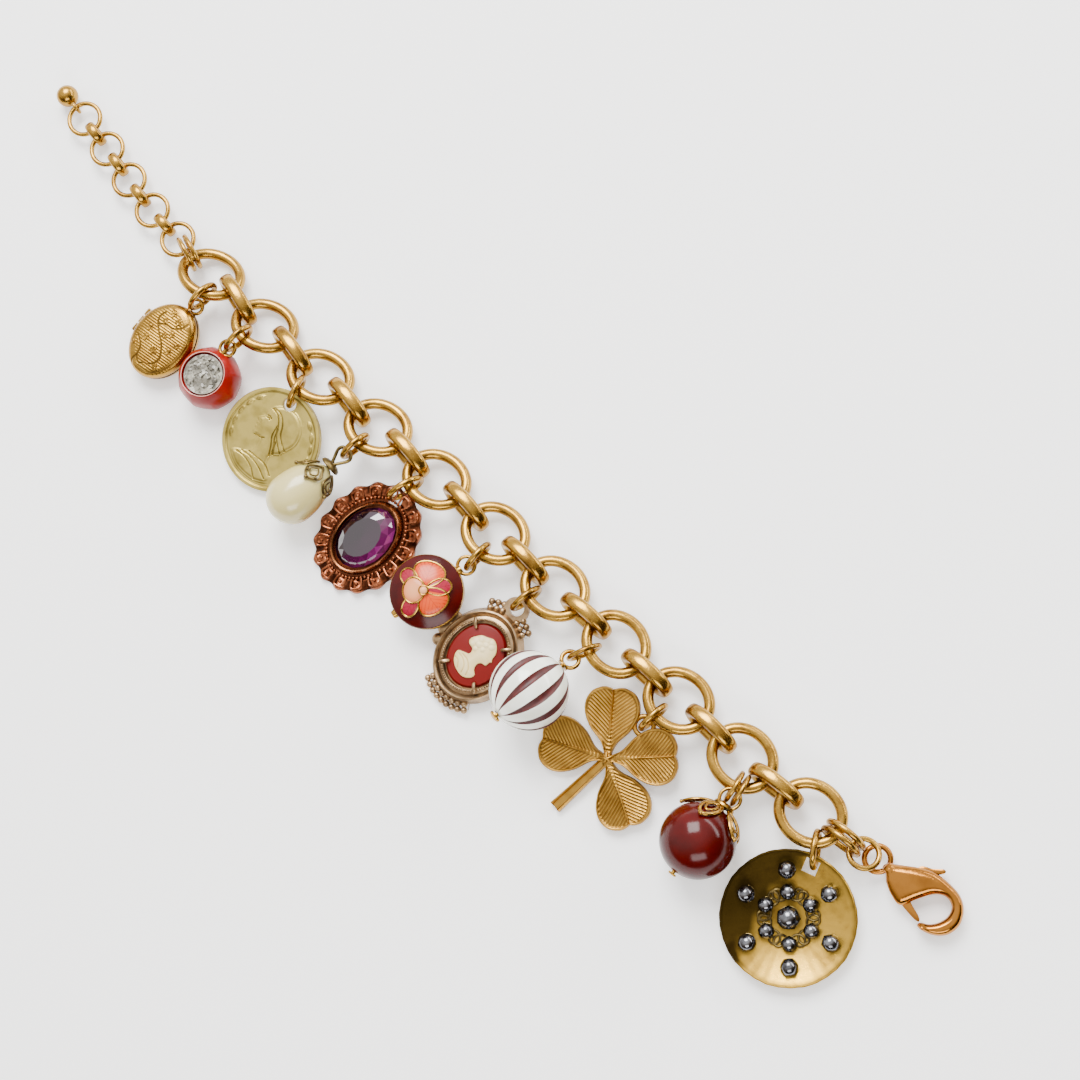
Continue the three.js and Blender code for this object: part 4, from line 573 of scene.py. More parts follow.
class FINISH_OT_make(bpy.types.Operator):
    """Makes every finish of the bracelet"""

    bl_idname = "bracelet.finishes"
    bl_label = "Finishes"

    def execute(self, context):
        s = context.scene.bracelet_finish
        # Cast brass with a worn gold wash: warm highlights, brown where the wash has thinned
        metal("brass_gilt_worn", s.brass, "#6c471a", s.brass_rough, 3.0, (0.48, 0.8))
        # Stamped brass left satin, darker in the veins
        metal("brass_satin_stamped", "#a98038", "#7e581f", 0.34, 3.0, (0.45, 0.8), recess_and_shade="#43290c")
        # Struck aluminium bronze, pale and dry, with faint greenish handling
        metal("bronze_pale_struck", s.coin, "#8c7836", 0.38, 2.5, (0.45, 0.8), recess_and_shade="#3c2e0e")
        # Antiqued brass of the pearl's cap: grey-gold, nearly black in the cuts
        metal("brass_antiqued", "#7c693e", "#443820", 0.34, 1.5, (0.42, 0.7), recess_and_shade="#1e1608")
        # Pressed copper, lacquered: pinkish on the high spots, dark brown in the folds
        metal("copper_pressed", s.copper, "#5c2c18", 0.3, 2.0, (0.4, 0.75), recess_and_shade="#2a0f06")
        # Copper band spun smooth round the stone
        metal("copper_spun", "#8c5836", "#5c341a", 0.26, 3.0, (0.45, 0.8), recess_and_shade="#3a1c0c")
        # Pale gilt worn down to grey metal
        metal("gilt_pale_worn", "#a48866", "#6c5640", 0.36, 1.6, (0.42, 0.72), recess_and_shade="#3e2a18")
        # Old button brass: black-brown patina with bare brass showing where it was rubbed, and nearly black on one
        # side of the dish where its tone carries a painted shade
        metal("brass_button_patina", "#b8923a", "#74531c", 0.34, 3.0, (0.5, 0.85), recess_and_shade="#120b06")
        # Cut steel, polished facets, blue-grey
        metal("steel_cut_polished", "#85868c", "#3c3a3c", 0.14, 1.2, (0.4, 0.75), scratch=0.000004,
              recess_and_shade="#26221e")
        # Polished clasp, its darker brown patches painted in as reflections
        metal("brass_polished_clasp", "#a86f2e", "#7c4a18", 0.17, 5.0, (0.45, 0.8))
        # Coral-red stained stone, polished: scarlet with paler, pinker patches
        gloss("coral_red_polished", ((0.0, "#780301"), (0.55, "#860602"), (0.85, "#941009"), (1.0, "#a83036")),
              0.28, patch_mm=4.0, **{"Specular IOR Level": 0.25, "IOR": 1.5})
        # Rough drusy quartz: grey grains that sparkle
        gloss("quartz_rough", ((0.0, "#57534a"), (0.5, "#827e72"), (1.0, "#b6b2a2")), 0.3, "tone",
              bump=0.00012, bump_mm=0.3, IOR=1.54)
        # Pale glue line round the crystal
        gloss("resin_pale_line", ((0.0, "#c88c80"), (1.0, "#d8a898")), 0.25, IOR=1.5)
        # Glass pearl with a nacre coat: cream with a greenish cast, a soft wide highlight, and a painted brown
        # reflection of the brass on one side, carried by its tone
        gloss("pearl_nacre_coat", ((0.0, "#bfb272"), (0.45, "#c9ba7c"), (0.75, "#b98c4c"), (1.0, "#84561f")),
              0.24, "tone", **{"Coat Weight": 0.4, "Coat Roughness": 0.12, "IOR": 1.55})
        # Foiled purple glass, coloured by each facet's tone, which carries painted light: nearly black through the
        # table, magenta on the facets painted as lit
        gloss("amethyst_glass_foiled", ((0.0, "#0a0208"), (0.35, "#20041a"), (0.7, "#5c1048"), (1.0, "#94307e")),
              0.04, "tone", bump=0.0, **{"Coat Weight": 1.0, "Coat Roughness": 0.02, "IOR": 1.55})
        # Vitreous enamels over metal: wet gloss, slight waves
        gloss("enamel_dark_red", ((0.0, "#340302"), (1.0, "#460504")), 0.2,
              **{"Specular IOR Level": 0.22, "IOR": 1.5})
        gloss("enamel_orange", ((0.0, "#d8501a"), (0.5, "#c63c0a"), (1.0, "#7c2004")), 0.25, "tone",
              **{"Specular IOR Level": 0.3, "IOR": 1.5})
        gloss("enamel_rose", ((0.0, "#981c34"), (0.6, "#861028"), (1.0, "#5a0616")), 0.25, "tone",
              **{"Specular IOR Level": 0.3, "IOR": 1.5})
        gloss("enamel_blush", ((0.0, "#e6a070"), (0.6, "#d06a36"), (1.0, "#9a4018")), 0.25, "tone",
              **{"Specular IOR Level": 0.3, "IOR": 1.5})
        # Carved two-layer cameo: cream on sealing-wax red, satin
        gloss("cameo_red_and_cream", ((0.0, "#660602"), (0.45, "#660602"), (0.55, "#c4a768"), (0.8, "#dbc48c"),
                                      (1.0, "#e8d6a4")), 0.4, "tone", **{"Specular IOR Level": 0.25})
        # White lacquer on wood, and red paint in its carved grooves
        gloss("lacquer_white", ((0.0, "#f4f5ea"), (1.0, "#e9ebd9")), 0.16, patch_mm=3.0,
              **{"Coat Weight": 0.5, "IOR": 1.5})
        gloss("paint_groove_red", ((0.0, "#4c0704"), (1.0, "#340302")), 0.5, patch_mm=1.0, IOR=1.5)
        # Dark red glass bead, highly polished
        gloss("glass_dark_red", ((0.0, "#340302"), (1.0, "#4c0605")), 0.16, patch_mm=5.0,
              **{"Specular IOR Level": 0.22, "IOR": 1.5})
        return {"FINISHED"}


# ---------------------------------------------------------------- chain

class CHAIN_OT_make(bpy.types.Operator):
    """Makes the big links, the joining links, the jump rings and the clasp's rings"""

    bl_idname = "bracelet.chain"
    bl_label = "Chain and rings"

    def execute(self, context):
        s = context.scene.bracelet_chain
        for node in sorted(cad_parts):
            if node.startswith("main_link"):
                shape = oval_ring(*MAIN_LINK, rows=s.link_rows, sides=20)
            elif node.startswith("joining_link"):
                shape = oval_ring(*JOINING_LINK, rows=s.link_rows, sides=24, square=1.35)
            elif node in RINGS:
                outer, across = RINGS[node]
                shape = oval_ring(outer, outer, across, across, rows=s.link_rows * 2 // 3, sides=14)
            else:
                continue
            centre, axes = lie(node)
            points, faces, tones = shape
            make(node, [((points @ axes + centre, faces, tones), "brass_gilt_worn", True)])
        return {"FINISHED"}


class EXTENDER_OT_make(bpy.types.Operator):
    """Makes the extender: small rings, thick links between them and the ball at the free end"""

    bl_idname = "bracelet.extender"
    bl_label = "Extender"

    def execute(self, context):
        parts = []
        for index, (x, y, heading) in enumerate(EXTENDER_PLACES):
            at = (x, y, EXTENDER_HEIGHT)
            if index % 2:
                link = moved(oval_ring(*EXTENDER_JOIN, rows=56, sides=18, square=1.3), at, heading, (90, 0))
            else:
                link = moved(ring(*EXTENDER_RING, rows=72), at, heading)
            parts.append((link, "brass_gilt_worn", True))
        make("extender_chain", parts)
        x, y, heading = BALL_PLACE
        loop = moved(ring(*BALL_LOOP, at=(BALL_DIAMETER / 2 + 0.8, 0, 0), rows=40), tilt=(90, 0))
        parts = [bead((0, 0, 0), BALL_DIAMETER / 2, 32, 48), loop,
                 lathe([(0, 0), (0.55, 0), (0.62, 0.12), (0.5, 0.24), (0, 0.24)], 32)]
        parts[2] = moved(parts[2], (BALL_DIAMETER / 2 - 0.12, 0, 0), tilt=(0, 90))
        make("extender_ball", [(moved(p, (x, y, EXTENDER_HEIGHT), heading), "brass_gilt_worn", True) for p in parts])
        return {"FINISHED"}


# ---------------------------------------------------------------- charms

def petals(x, y, size, count=5):
    """A small flower: a height that swells in petals round its middle, 0 outside it, at most 1."""
    reach = np.hypot(x, y) / size
    lobes = 0.68 + 0.32 * np.cos(count * np.arctan2(y, x))
    return (1 - step(reach, lobes * 0.75, lobes)) * (0.45 + 0.55 * step(reach, 0.0, 0.45))


class LOCKET_OT_make(bpy.types.Operator):
    """Makes the locket: a plain back with its bail, and a domed lid engraved with vines and flowers on hatching"""

    bl_idname = "bracelet.locket"
    bl_label = "Locket"

    def execute(self, context):
        c = LOCKET
        depth = context.scene.bracelet_locket.engraving
        half, base = c["half"], c["half"] + AIR
        vines = [flowing(path, 40) for path in LOCKET_VINES]

        def pattern(x, y, share):
            field = step(share, 0.0, 0.02) * (1 - step(share, 0.9, 0.94))
            bare = step(y + 0.9 * x, -6.4, -5.6) * (1 - step(y + 0.3 * x, 4.9, 5.4))
            hatch = 0.5 + 0.5 * np.cos(TURN * (y - 0.17 * x) / HATCH_PITCH)
            vine = np.max([ridge(away_from(x, y, path), 0.24) for path in vines], axis=0)
            bloom = np.max([petals(x - fx, y - fy, size * 1.25) for fx, fy, size in LOCKET_FLOWERS], axis=0)
            clear = np.clip(1 - bloom * 3, 0, 1) * np.clip(1 - vine * 2, 0, 1)
            cut = (1 - hatch) * bare * field * clear
            return cut, vine * field, bloom * field

        def height(x, y, share):
            top = np.interp(share, (0, 0.3, 0.6, 0.78, 0.86, 0.92, 0.96, 0.985, 1),
                            np.array((1.09, 1.08, 1.045, 1.0, 0.93, 0.8, 0.64, 0.48, 0.25)) * half) + base
            cut, vine, bloom = pattern(x, y, share)
            return top + depth * (-0.55 * cut - 1.1 * vine + 1.2 * bloom)

        def marks(x, y, share):
            cut, vine, bloom = pattern(x, y, share)
            return np.clip(0.4 * cut + 0.75 * vine + 0.35 * bloom * (1 - bloom) * 4 * 0.5, 0, 0.9)

        outline = circle(c["wide"], c["long"], 380)
        lid = relief(outline, height, ((1.0, base + half * 0.1), (0.992, base)), 122, base, marks)
        hinge = (-c["wide"] - 0.1, half + AIR / 2)
        knuckles = [moved(lathe([(0, -0.65), (0.46, -0.65), (0.5, -0.6), (0.5, 0.6), (0.46, 0.65), (0, 0.65)], 24,
                                axis="y"), (hinge[0], y, hinge[1])) for y in (-1.6, 0.0, 1.6)]
        brass = "brass_gilt_worn"
        make("locket_front", [(lid, brass, True), (knuckles[1], brass, True)], "locket", c["shift"],
             body="locket_cover")
        shell = lathe([(0, 0), (0.78, 0), (0.86, 0.12), (0.94, 0.5), (0.985, 1.0), (1.0, 1.4), (1.0, half),
                       (0.93, half), (0.0, half)], 120)
        points = shell[0] * np.array([c["wide"], c["long"], 1])
        bail = (0, c["long"] + c["bail"] / 2 - c["wire"] * 0.75, half * 0.7)
        make("locket_back", [((points, *shell[1:]), brass, True), (knuckles[0], brass, True),
                             (knuckles[2], brass, True), (ring(c["bail"], c["wire"], bail, 48), brass, True)],
             "locket", c["shift"])
        return {"FINISHED"}


class CORAL_OT_make(bpy.types.Operator):
    """Makes the coral bead, ground in broad soft facets, with a disc of rough crystal let into its face"""

    bl_idname = "bracelet.coral"
    bl_label = "Coral bead"

    def execute(self, context):
        c = CORAL
        top, wide, seat = c["high"], c["wide"], c["disc"] + AIR
        profile = flowing([(0, 0), (wide * 0.62, 0.05), (wide * 0.9, top * 0.2), (wide, top * 0.48),
                           (wide * 0.94, top * 0.76), (c["face"] + 0.12, top - 0.1), (c["face"] - 0.08, top),
                           (seat + 0.08, top - 0.02)], 60)
        profile = np.concatenate([profile, [(seat, top - 0.2), (seat, top - c["thick"]), (0, top - c["thick"])]])
        points, faces, tones = lathe(profile, 144)
        turn = np.arctan2(points[:, 1], points[:, 0])
        side = step(np.hypot(points[:, 0], points[:, 1]), c["face"], wide)
        facet = np.cos((turn * CORAL_FACETS / TURN % 1 - 0.5) * TURN / CORAL_FACETS)
        points = points * np.stack([1 - side * (facet - 0.94) * 0.5] * 2 + [np.ones_like(side)], axis=1)
        away = (0, -wide * 1.1 - (c["bail"] - c["wire"]) / 2, -top * 0.8)
        bail = (0, wide * 1.1, top * 0.8)
        line = ring(2 * seat + 0.36, 0.16, (0, 0, top - 0.02), 72, 8)
        peg = moved(lathe([(0, -1.2), (0.4, -1.2), (0.4, 1.0), (0, 1.0)], 20, axis="y"), (0, wide - 0.3, top * 0.8))
        make("coral_bead", [((points, faces, tones), "coral_red_polished", True), (line, "resin_pale_line", True),
                            (ring(c["bail"], c["wire"], bail, 48), "brass_gilt_worn", True),
                            (peg, "brass_gilt_worn", True)], "coral", away)
        rng = np.random.default_rng(SEED)
        seeds = rng.uniform(-c["disc"], c["disc"], (230, 2))
        tilt = rng.normal(0, 0.35, (230, 2))
        lift = rng.uniform(-0.2, 0.12, 230)
        base = top - c["thick"] + 0.02

        def nearest(x, y):
            best, which = np.full(x.shape, np.inf), np.zeros(x.shape, int)
            for index, (sx, sy) in enumerate(seeds):
                gap = (x - sx) ** 2 + (y - sy) ** 2
                which = np.where(gap < best, index, which)
                best = np.minimum(best, gap)
            return which

        def grains(x, y, share):
            which = nearest(x, y)
            lean = tilt[which, 0] * (x - seeds[which, 0]) + tilt[which, 1] * (y - seeds[which, 1])
            swell = 0.12 * np.cos(1.1 * x - 0.6) * np.cos(1.3 * y + 0.4)
            return base + 0.72 + (lift[which] + lean + swell) * (1 - step(share, 0.85, 1.0))

        def shades(x, y, share):
            return np.clip(0.5 + 1.6 * lift[nearest(x, y)] + 0.25 * np.sin(1.7 * x + 1) * np.cos(2.1 * y), 0, 1)

        disc = relief(circle(c["disc"], c["disc"], 150), grains, ((1.0, base + 0.5), (1.0, base)), 60, base, shades)
        make("crystal_disc", [(disc, "quartz_rough", True)], "coral", away)
        return {"FINISHED"}


class COIN_OT_make(bpy.types.Operator):
    """Makes the coin: a rim, a plain classical head in low relief and a few leaves, drilled near the edge"""

    bl_idname = "bracelet.coin"
    bl_label = "Coin"

    def execute(self, context):
        c = COIN
        rise = context.scene.bracelet_coin.relief
        size, radius = 2 * c["radius"], c["radius"]
        lean = np.radians(c["head_turn"])
        spin = np.array([[np.cos(lean), -np.sin(lean)], [np.sin(lean), np.cos(lean)]])
        head = flowing(np.array(COIN_HEAD) * size, 160, True) @ spin.T
        lines = [flowing(np.array(path) * size, 40) @ spin.T for path in COIN_LINES]
        leaves = [(side * angle, radius * 0.83) for side in (-1, 1) for angle in COIN_LEAF_DEG]

        def pattern(x, y):
            inside = within(x, y, head)
            body = step(inside, 0.0, 0.7)
            bright = ridge(np.abs(inside - 0.12), 0.2)
            carved = np.max([ridge(away_from(x, y, path), 0.17) for path in lines], axis=0) * step(inside, 0, 0.1)
            foliage = np.zeros_like(x)
            for angle, reach in leaves:
                turn = np.radians(90 - angle)
                along = -(x - reach * np.cos(turn)) * np.sin(turn) + (y - reach * np.sin(turn)) * np.cos(turn)
                across = (x - reach * np.cos(turn)) * np.cos(turn) + (y - reach * np.sin(turn)) * np.sin(turn)
                shape = 1 - (along / 0.95) ** 2 - np.abs(across) / 0.42
                foliage = np.maximum(foliage, np.clip(shape * 1.6, 0, 1) * (1 - 0.5 * ridge(np.abs(across), 0.08)))
            return body, bright, carved, foliage * (inside < -0.2)

        def height(x, y, share):
            body, bright, carved, foliage = pattern(x, y)
            rim = step(share, 1 - c["rim"] / radius * 1.15, 1 - c["rim"] / radius * 0.75)
            fall = 0.1 * step(share, 0.985, 1.0)
            return c["thick"] - c["relief"] + rise * (0.75 * body + 0.25 * bright - 0.7 * carved + 0.6 * foliage
                                                      + rim) - fall

        def marks(x, y, share):
            body, bright, carved, foliage = pattern(x, y)
            groove = ridge(np.abs(share - (1 - c["rim"] / radius * 1.2)), 0.02)
            return np.clip(0.55 * carved + 0.6 * groove + 0.3 * foliage * (1 - foliage) * 4, 0, 0.8)

        disc = relief(circle(radius, radius, 400), height, ((1.0, 1.0), (1.0, 0.12), (0.985, 0.0)), 158, 0.0, marks)
        hole = moved(lathe([(0, -2), (c["hole"], -2), (c["hole"], 3), (0, 3)], 40), (0, radius - c["inset"], 0))
        strip = c["inset"] - c["hole"]
        make("coin", [(disc, "bronze_pale_struck", True)], "coin", (0, strip / 2 - radius, -c["thick"] / 2),
             drill=hole)
        return {"FINISHED"}


def pearl_reach(share):
    """Half the pearl's width along it: an ellipse below the widest place, a drawn-out sine above it."""
    bulb = PEARL["width"] / 2
    widest = 1 - bulb / PEARL["length"]
    low = np.sqrt(np.maximum(0, 1 - ((share - widest) / (1 - widest)) ** 2))
    high = np.sin(np.pi / 2 * np.clip(share / widest, 0, 1) ** 0.62)
    return bulb * np.where(share > widest, low, high)


class PEARL_OT_make(bpy.types.Operator):
    """Makes the pearl drop and its cap of pierced leaves, each a diamond of wire with a smaller one in it"""

    bl_idname = "bracelet.pearl"
    bl_label = "Pearl drop"

    def execute(self, context):
        c = PEARL
        top = -c["loop"][0] - c["wire"] - AIR
        share = (1 - np.cos(np.linspace(0, np.pi, 64))) / 2
        reach = pearl_reach(share)
        reach[[0, -1]] = 0
        points, faces, _ = lathe(np.stack([reach, top - share * c["length"]], axis=1), 96, axis="y")
        # Painted reflection: the tone turns the pearl brown on one side, standing in for the brass reflected there
        painted_reflection_side = points[:, 0] / c["width"] - 0.55 * points[:, 2] / c["width"] + 0.02 * points[:, 1]
        body = (points, faces, np.clip(0.25 + 0.75 * step(painted_reflection_side, -0.05, 0.5), 0, 1))
        make("pearl_drop", [(body, "pearl_nacre_coat", True)], "pearl")

        def on_pearl(down, around, lift):
            radius = pearl_reach(down) + lift
            return np.stack([radius * np.cos(around), top - down * c["length"], radius * np.sin(around)], axis=1)

        parts = []
        turn = np.arange(40) / 40 * TURN
        diamond = [np.abs(wave) ** 1.4 * np.sign(wave) for wave in (np.cos(turn), np.sin(turn))]
        for index in range(c["petals"]):
            around = (index + 0.25) * TURN / c["petals"]
            middle = on_pearl(np.full(40, 0.15), np.full(40, around), 3)
            for size, lift in ((1.0, 0.42), (0.52, 0.46)):
                path = on_pearl(0.16 - 0.115 * size * diamond[0], around + 0.5 * size * diamond[1], lift)
                outward = unit(middle - np.array([0, top - 4, 0]))
                parts.append(wire(path, 0.2 if size == 1 else 0.13, up=outward, sides=8, tone=0.1))
            tip = on_pearl(np.array([0.285]), np.array([around]), 0.5)[0]
            parts.append(bead(tip, 0.36))
            for side in (-0.3, 0.3):
                parts.append(bead(on_pearl(np.array([0.2]), np.array([around + side]), 0.46)[0], 0.24))
        crown = [(0, 0.2), (1.8, 0.0), (2.7, -0.55), (3.0, -1.3), (2.7, -1.6), (2.1, -1.1), (0, -0.9)]
        crown = np.array([(r * c["wire"], top + AIR + (y + 1.2) * c["wire"]) for r, y in crown])
        parts.append(lathe(crown, 40, axis="y", tone=0.15))
        bend = np.array([(0, 0), (-0.4, -0.12), (-0.5, -0.35), (-0.28, -0.7), (0, -1), (0.28, -0.7), (0.5, -0.35),
                         (0.4, -0.12)]) * (c["loop"][1], c["loop"][0])
        path = flowing(bend, 72, True)
        parts.append(wire(np.concatenate([path, np.zeros((72, 1))], axis=1), 0.3))
        make("pearl_cap", [(part, "brass_antiqued", True) for part in parts], "pearl")
        return {"FINISHED"}


class OVAL_OT_make(bpy.types.Operator):
    """Makes the oval frame with its ruffled border of wire loops and beads, and the faceted purple stone"""

    bl_idname = "bracelet.oval"
    bl_label = "Oval stone in copper"

    def execute(self, context):
        c = OVAL
        long, wide, band, thick = c["long"], c["wide"], c["band"], c["thick"]
        count = c["ruffles"]
        turn = np.arange(count * 28) / (count * 28) * TURN
        wave = np.cos(count * turn)
        outline = np.stack([(wide + 0.22 * wave) * np.sin(turn), (long + 0.22 * wave) * np.cos(turn)], axis=1)
        inner = 1 - band / long

        def height(x, y, share):
            out = np.clip((share - inner) / (1 - inner), 0, 1)
            crest = np.cos(count * np.arctan2(x / wide, y / long))
            ripple = 0.42 * crest * step(out, 0.25, 0.8) * (1 - 0.4 * step(out, 0.85, 1))
            return thick * (0.75 + 0.25 * step(out, 0, 0.3)) + ripple - 0.3 * step(out, 0.9, 1.0)

        def marks(x, y, share):
            out = np.clip((share - inner) / (1 - inner), 0, 1)
            crest = np.cos(count * np.arctan2(x / wide, y / long))
            return np.clip(0.85 * step(-crest, -0.2, 0.8) * step(out, 0.2, 0.4) + 0.5 * (out <= 0.12), 0, 0.9)

        parts = [(relief(outline, height, ((1.0, 0.35), (0.985, 0.12), (0.96, 0.0)), 70, 0.0, marks),
                  "copper_pressed", True)]
        for index in range(count):
            at = index / count * TURN
            bend = np.linspace(-1, 1, 26)
            around = at + 0.55 * np.sin(bend * 1.9) / count * TURN * 0.5 * 1.1
            reach = (1 - bend ** 4) * band * 0.62
            base = long - band + 0.45
            path = np.stack([(wide - band + 0.45 + reach) * np.sin(around), (base + reach) * np.cos(around),
                             thick + 0.12 + 0.3 * (reach / band)], axis=1)
            parts.append((wire(path, 0.19, closed=False, sides=8), "copper_pressed", True))
            # The hole is drilled where the first bead would lie
            if index == 0:
                continue
            tip = ((wide - band * 0.52) * np.sin(at), (long - band * 0.52) * np.cos(at), thick + 0.2)
            parts.append((bead(tip, 0.3, 7, 10), "copper_pressed", True))
        for index in range(64):
            at = index / 64 * TURN
            parts.append((bead(((wide - band + 0.28) * np.sin(at), (long - band + 0.28) * np.cos(at), thick + 0.1),
                               0.3, 6, 8), "copper_pressed", True))
        a, b, stone_high = c["stone"]
        top = thick + c["bezel"]
        seat = 1.0 + 0.39 / a
        rows = [(seat, thick * 0.5), (seat, top - 0.15), (seat + 0.02, top - 0.04), (seat + 0.05, top),
                (seat + c["wall"] / a * 0.55, top - 0.22), (seat + c["wall"] / a * 0.9, top - 0.85),
                (seat + c["wall"] / a, thick * 0.8), (seat + c["wall"] / a * 0.95, thick * 0.5)]
        bezel = lathe(rows, 120)
        bezel = grid((bezel[0] * np.array([b, a, 1])).reshape(len(rows), 120, 3), wrap_rows=True)
        parts.append((bezel, "copper_spun", True))
        parts = [(moved(part, turn=c["turn"]), material, smooth) for part, material, smooth in parts]
        hole = moved(lathe([(0, -2), (c["hole"], -2), (c["hole"], 4), (0, 4)], 40), (0, long - c["inset"], 0))
        strip = c["inset"] - c["hole"]
        shift = (0, strip / 2 - long, -thick * 0.65)
        make("oval_frame", parts, "oval", shift, drill=hole)
        floor = thick * 0.5 + AIR
        # Crown facets: girdle, two rows of triangles and kites, then the flat table
        facets, tones_rng = 16, np.random.default_rng(SEED + 1)
        turn = np.arange(facets) / facets * TURN
        half = turn + TURN / facets / 2
        girdle = np.stack([b * np.sin(half), a * np.cos(half), np.full(facets, floor + stone_high * 0.35)], axis=1)
        middle = np.stack([0.84 * b * np.sin(turn), 0.84 * a * np.cos(turn),
                           np.full(facets, floor + stone_high * 0.72)], axis=1)
        table = np.stack([0.64 * b * np.sin(half), 0.64 * a * np.cos(half),
                          np.full(facets, floor + stone_high)], axis=1)
        low = np.stack([0.78 * b * np.sin(half), 0.78 * a * np.cos(half), np.full(facets, floor)], axis=1)
        stone = []
        centre_low, centre_top = np.array([[0, 0, floor]]), np.array([[0, 0, floor + stone_high]])
        for i in range(facets):
            j = (i + 1) % facets
            for corners in ((centre_low[0], low[j], low[i]), (low[i], low[j], girdle[j], girdle[i]),
                            (girdle[i], girdle[j], middle[j]), (middle[i], girdle[i], middle[j]),
                            (middle[i], middle[j], table[i]), (table[i], middle[j], table[j]),
                            (table[i], table[j], centre_top[0])):
                points = np.array(corners if len(corners) == 4 else corners + (corners[-1],))
                spot = points.mean(axis=0)
                # Painted light: facets on one side get a lighter tone and the table a darker one, each with a random
                # spread
                light = 0.5 + 0.5 * np.tanh((spot[0] / b + 0.35 * spot[1] / a) * 1.6)
                flat_top = 1.0 if spot[2] > floor + stone_high * 0.98 else 0.0
                tone = np.clip((0.75 - 0.3 * flat_top) * light + tones_rng.uniform(-0.12, 0.16) * (1 - flat_top), 0, 1)
                order = np.array([[0, 1, 2, 3 if len(corners) == 4 else 2]])
                stone.append(((points, order, np.full(4, tone)), "amethyst_glass_foiled", False))
        stone = [(moved(part, turn=c["turn"]), material, smooth) for part, material, smooth in stone]
        make_stone("amethyst", stone, "oval", shift)
        return {"FINISHED"}


def make_stone(name, facets, place, shift):
    """A cut stone: its facets are merged at their corners and shaded flat; each keeps its own tone."""
    at, turn = lay(place)
    verts, faces, tones = [], [], []
    for (points, order, tone), _, _ in facets:
        corners = list(dict.fromkeys(order[0].tolist()))
        faces.append([len(verts) + index for index in range(len(corners))])
        verts.extend(((points[corners] + np.asarray(shift)) @ turn.T + np.asarray(at)).tolist())
        tones.append(float(tone[0]))
    mesh = bpy.data.meshes.new(name)
    mesh.from_pydata((np.array(verts) * MM).tolist(), [], faces)
    mesh.attributes.new("tone", "FLOAT", "FACE").data.foreach_set("value", np.array(tones, np.float32))
    work = bmesh.new()
    work.from_mesh(mesh)
    bmesh.ops.remove_doubles(work, verts=work.verts, dist=1e-6)
    bmesh.ops.recalc_face_normals(work, faces=work.faces)
    work.to_mesh(mesh)
    work.free()
    mesh.materials.append(bpy.data.materials["amethyst_glass_foiled"])
    made = bpy.data.objects.new(name + "_worked", mesh)
    bpy.context.scene.collection.objects.link(made)
    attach(made, "bracelet")
    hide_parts(name)
    return made


def petal_outline(root, length, width, degrees, taper, count=72):
    """A petal from its root: across it a sine that swells by the share of its length to the taper."""
    turn = np.arange(count) / count * TURN
    share = (1 - np.cos(turn)) / 2
    along = length * share
    across = width / 2 * np.sin(turn) * np.maximum(share, 1e-9) ** taper * 1.3
    way = np.radians(degrees)
    return np.stack([root[0] + along * np.cos(way) - across * np.sin(way),
                     root[1] + along * np.sin(way) + across * np.cos(way)], axis=1)


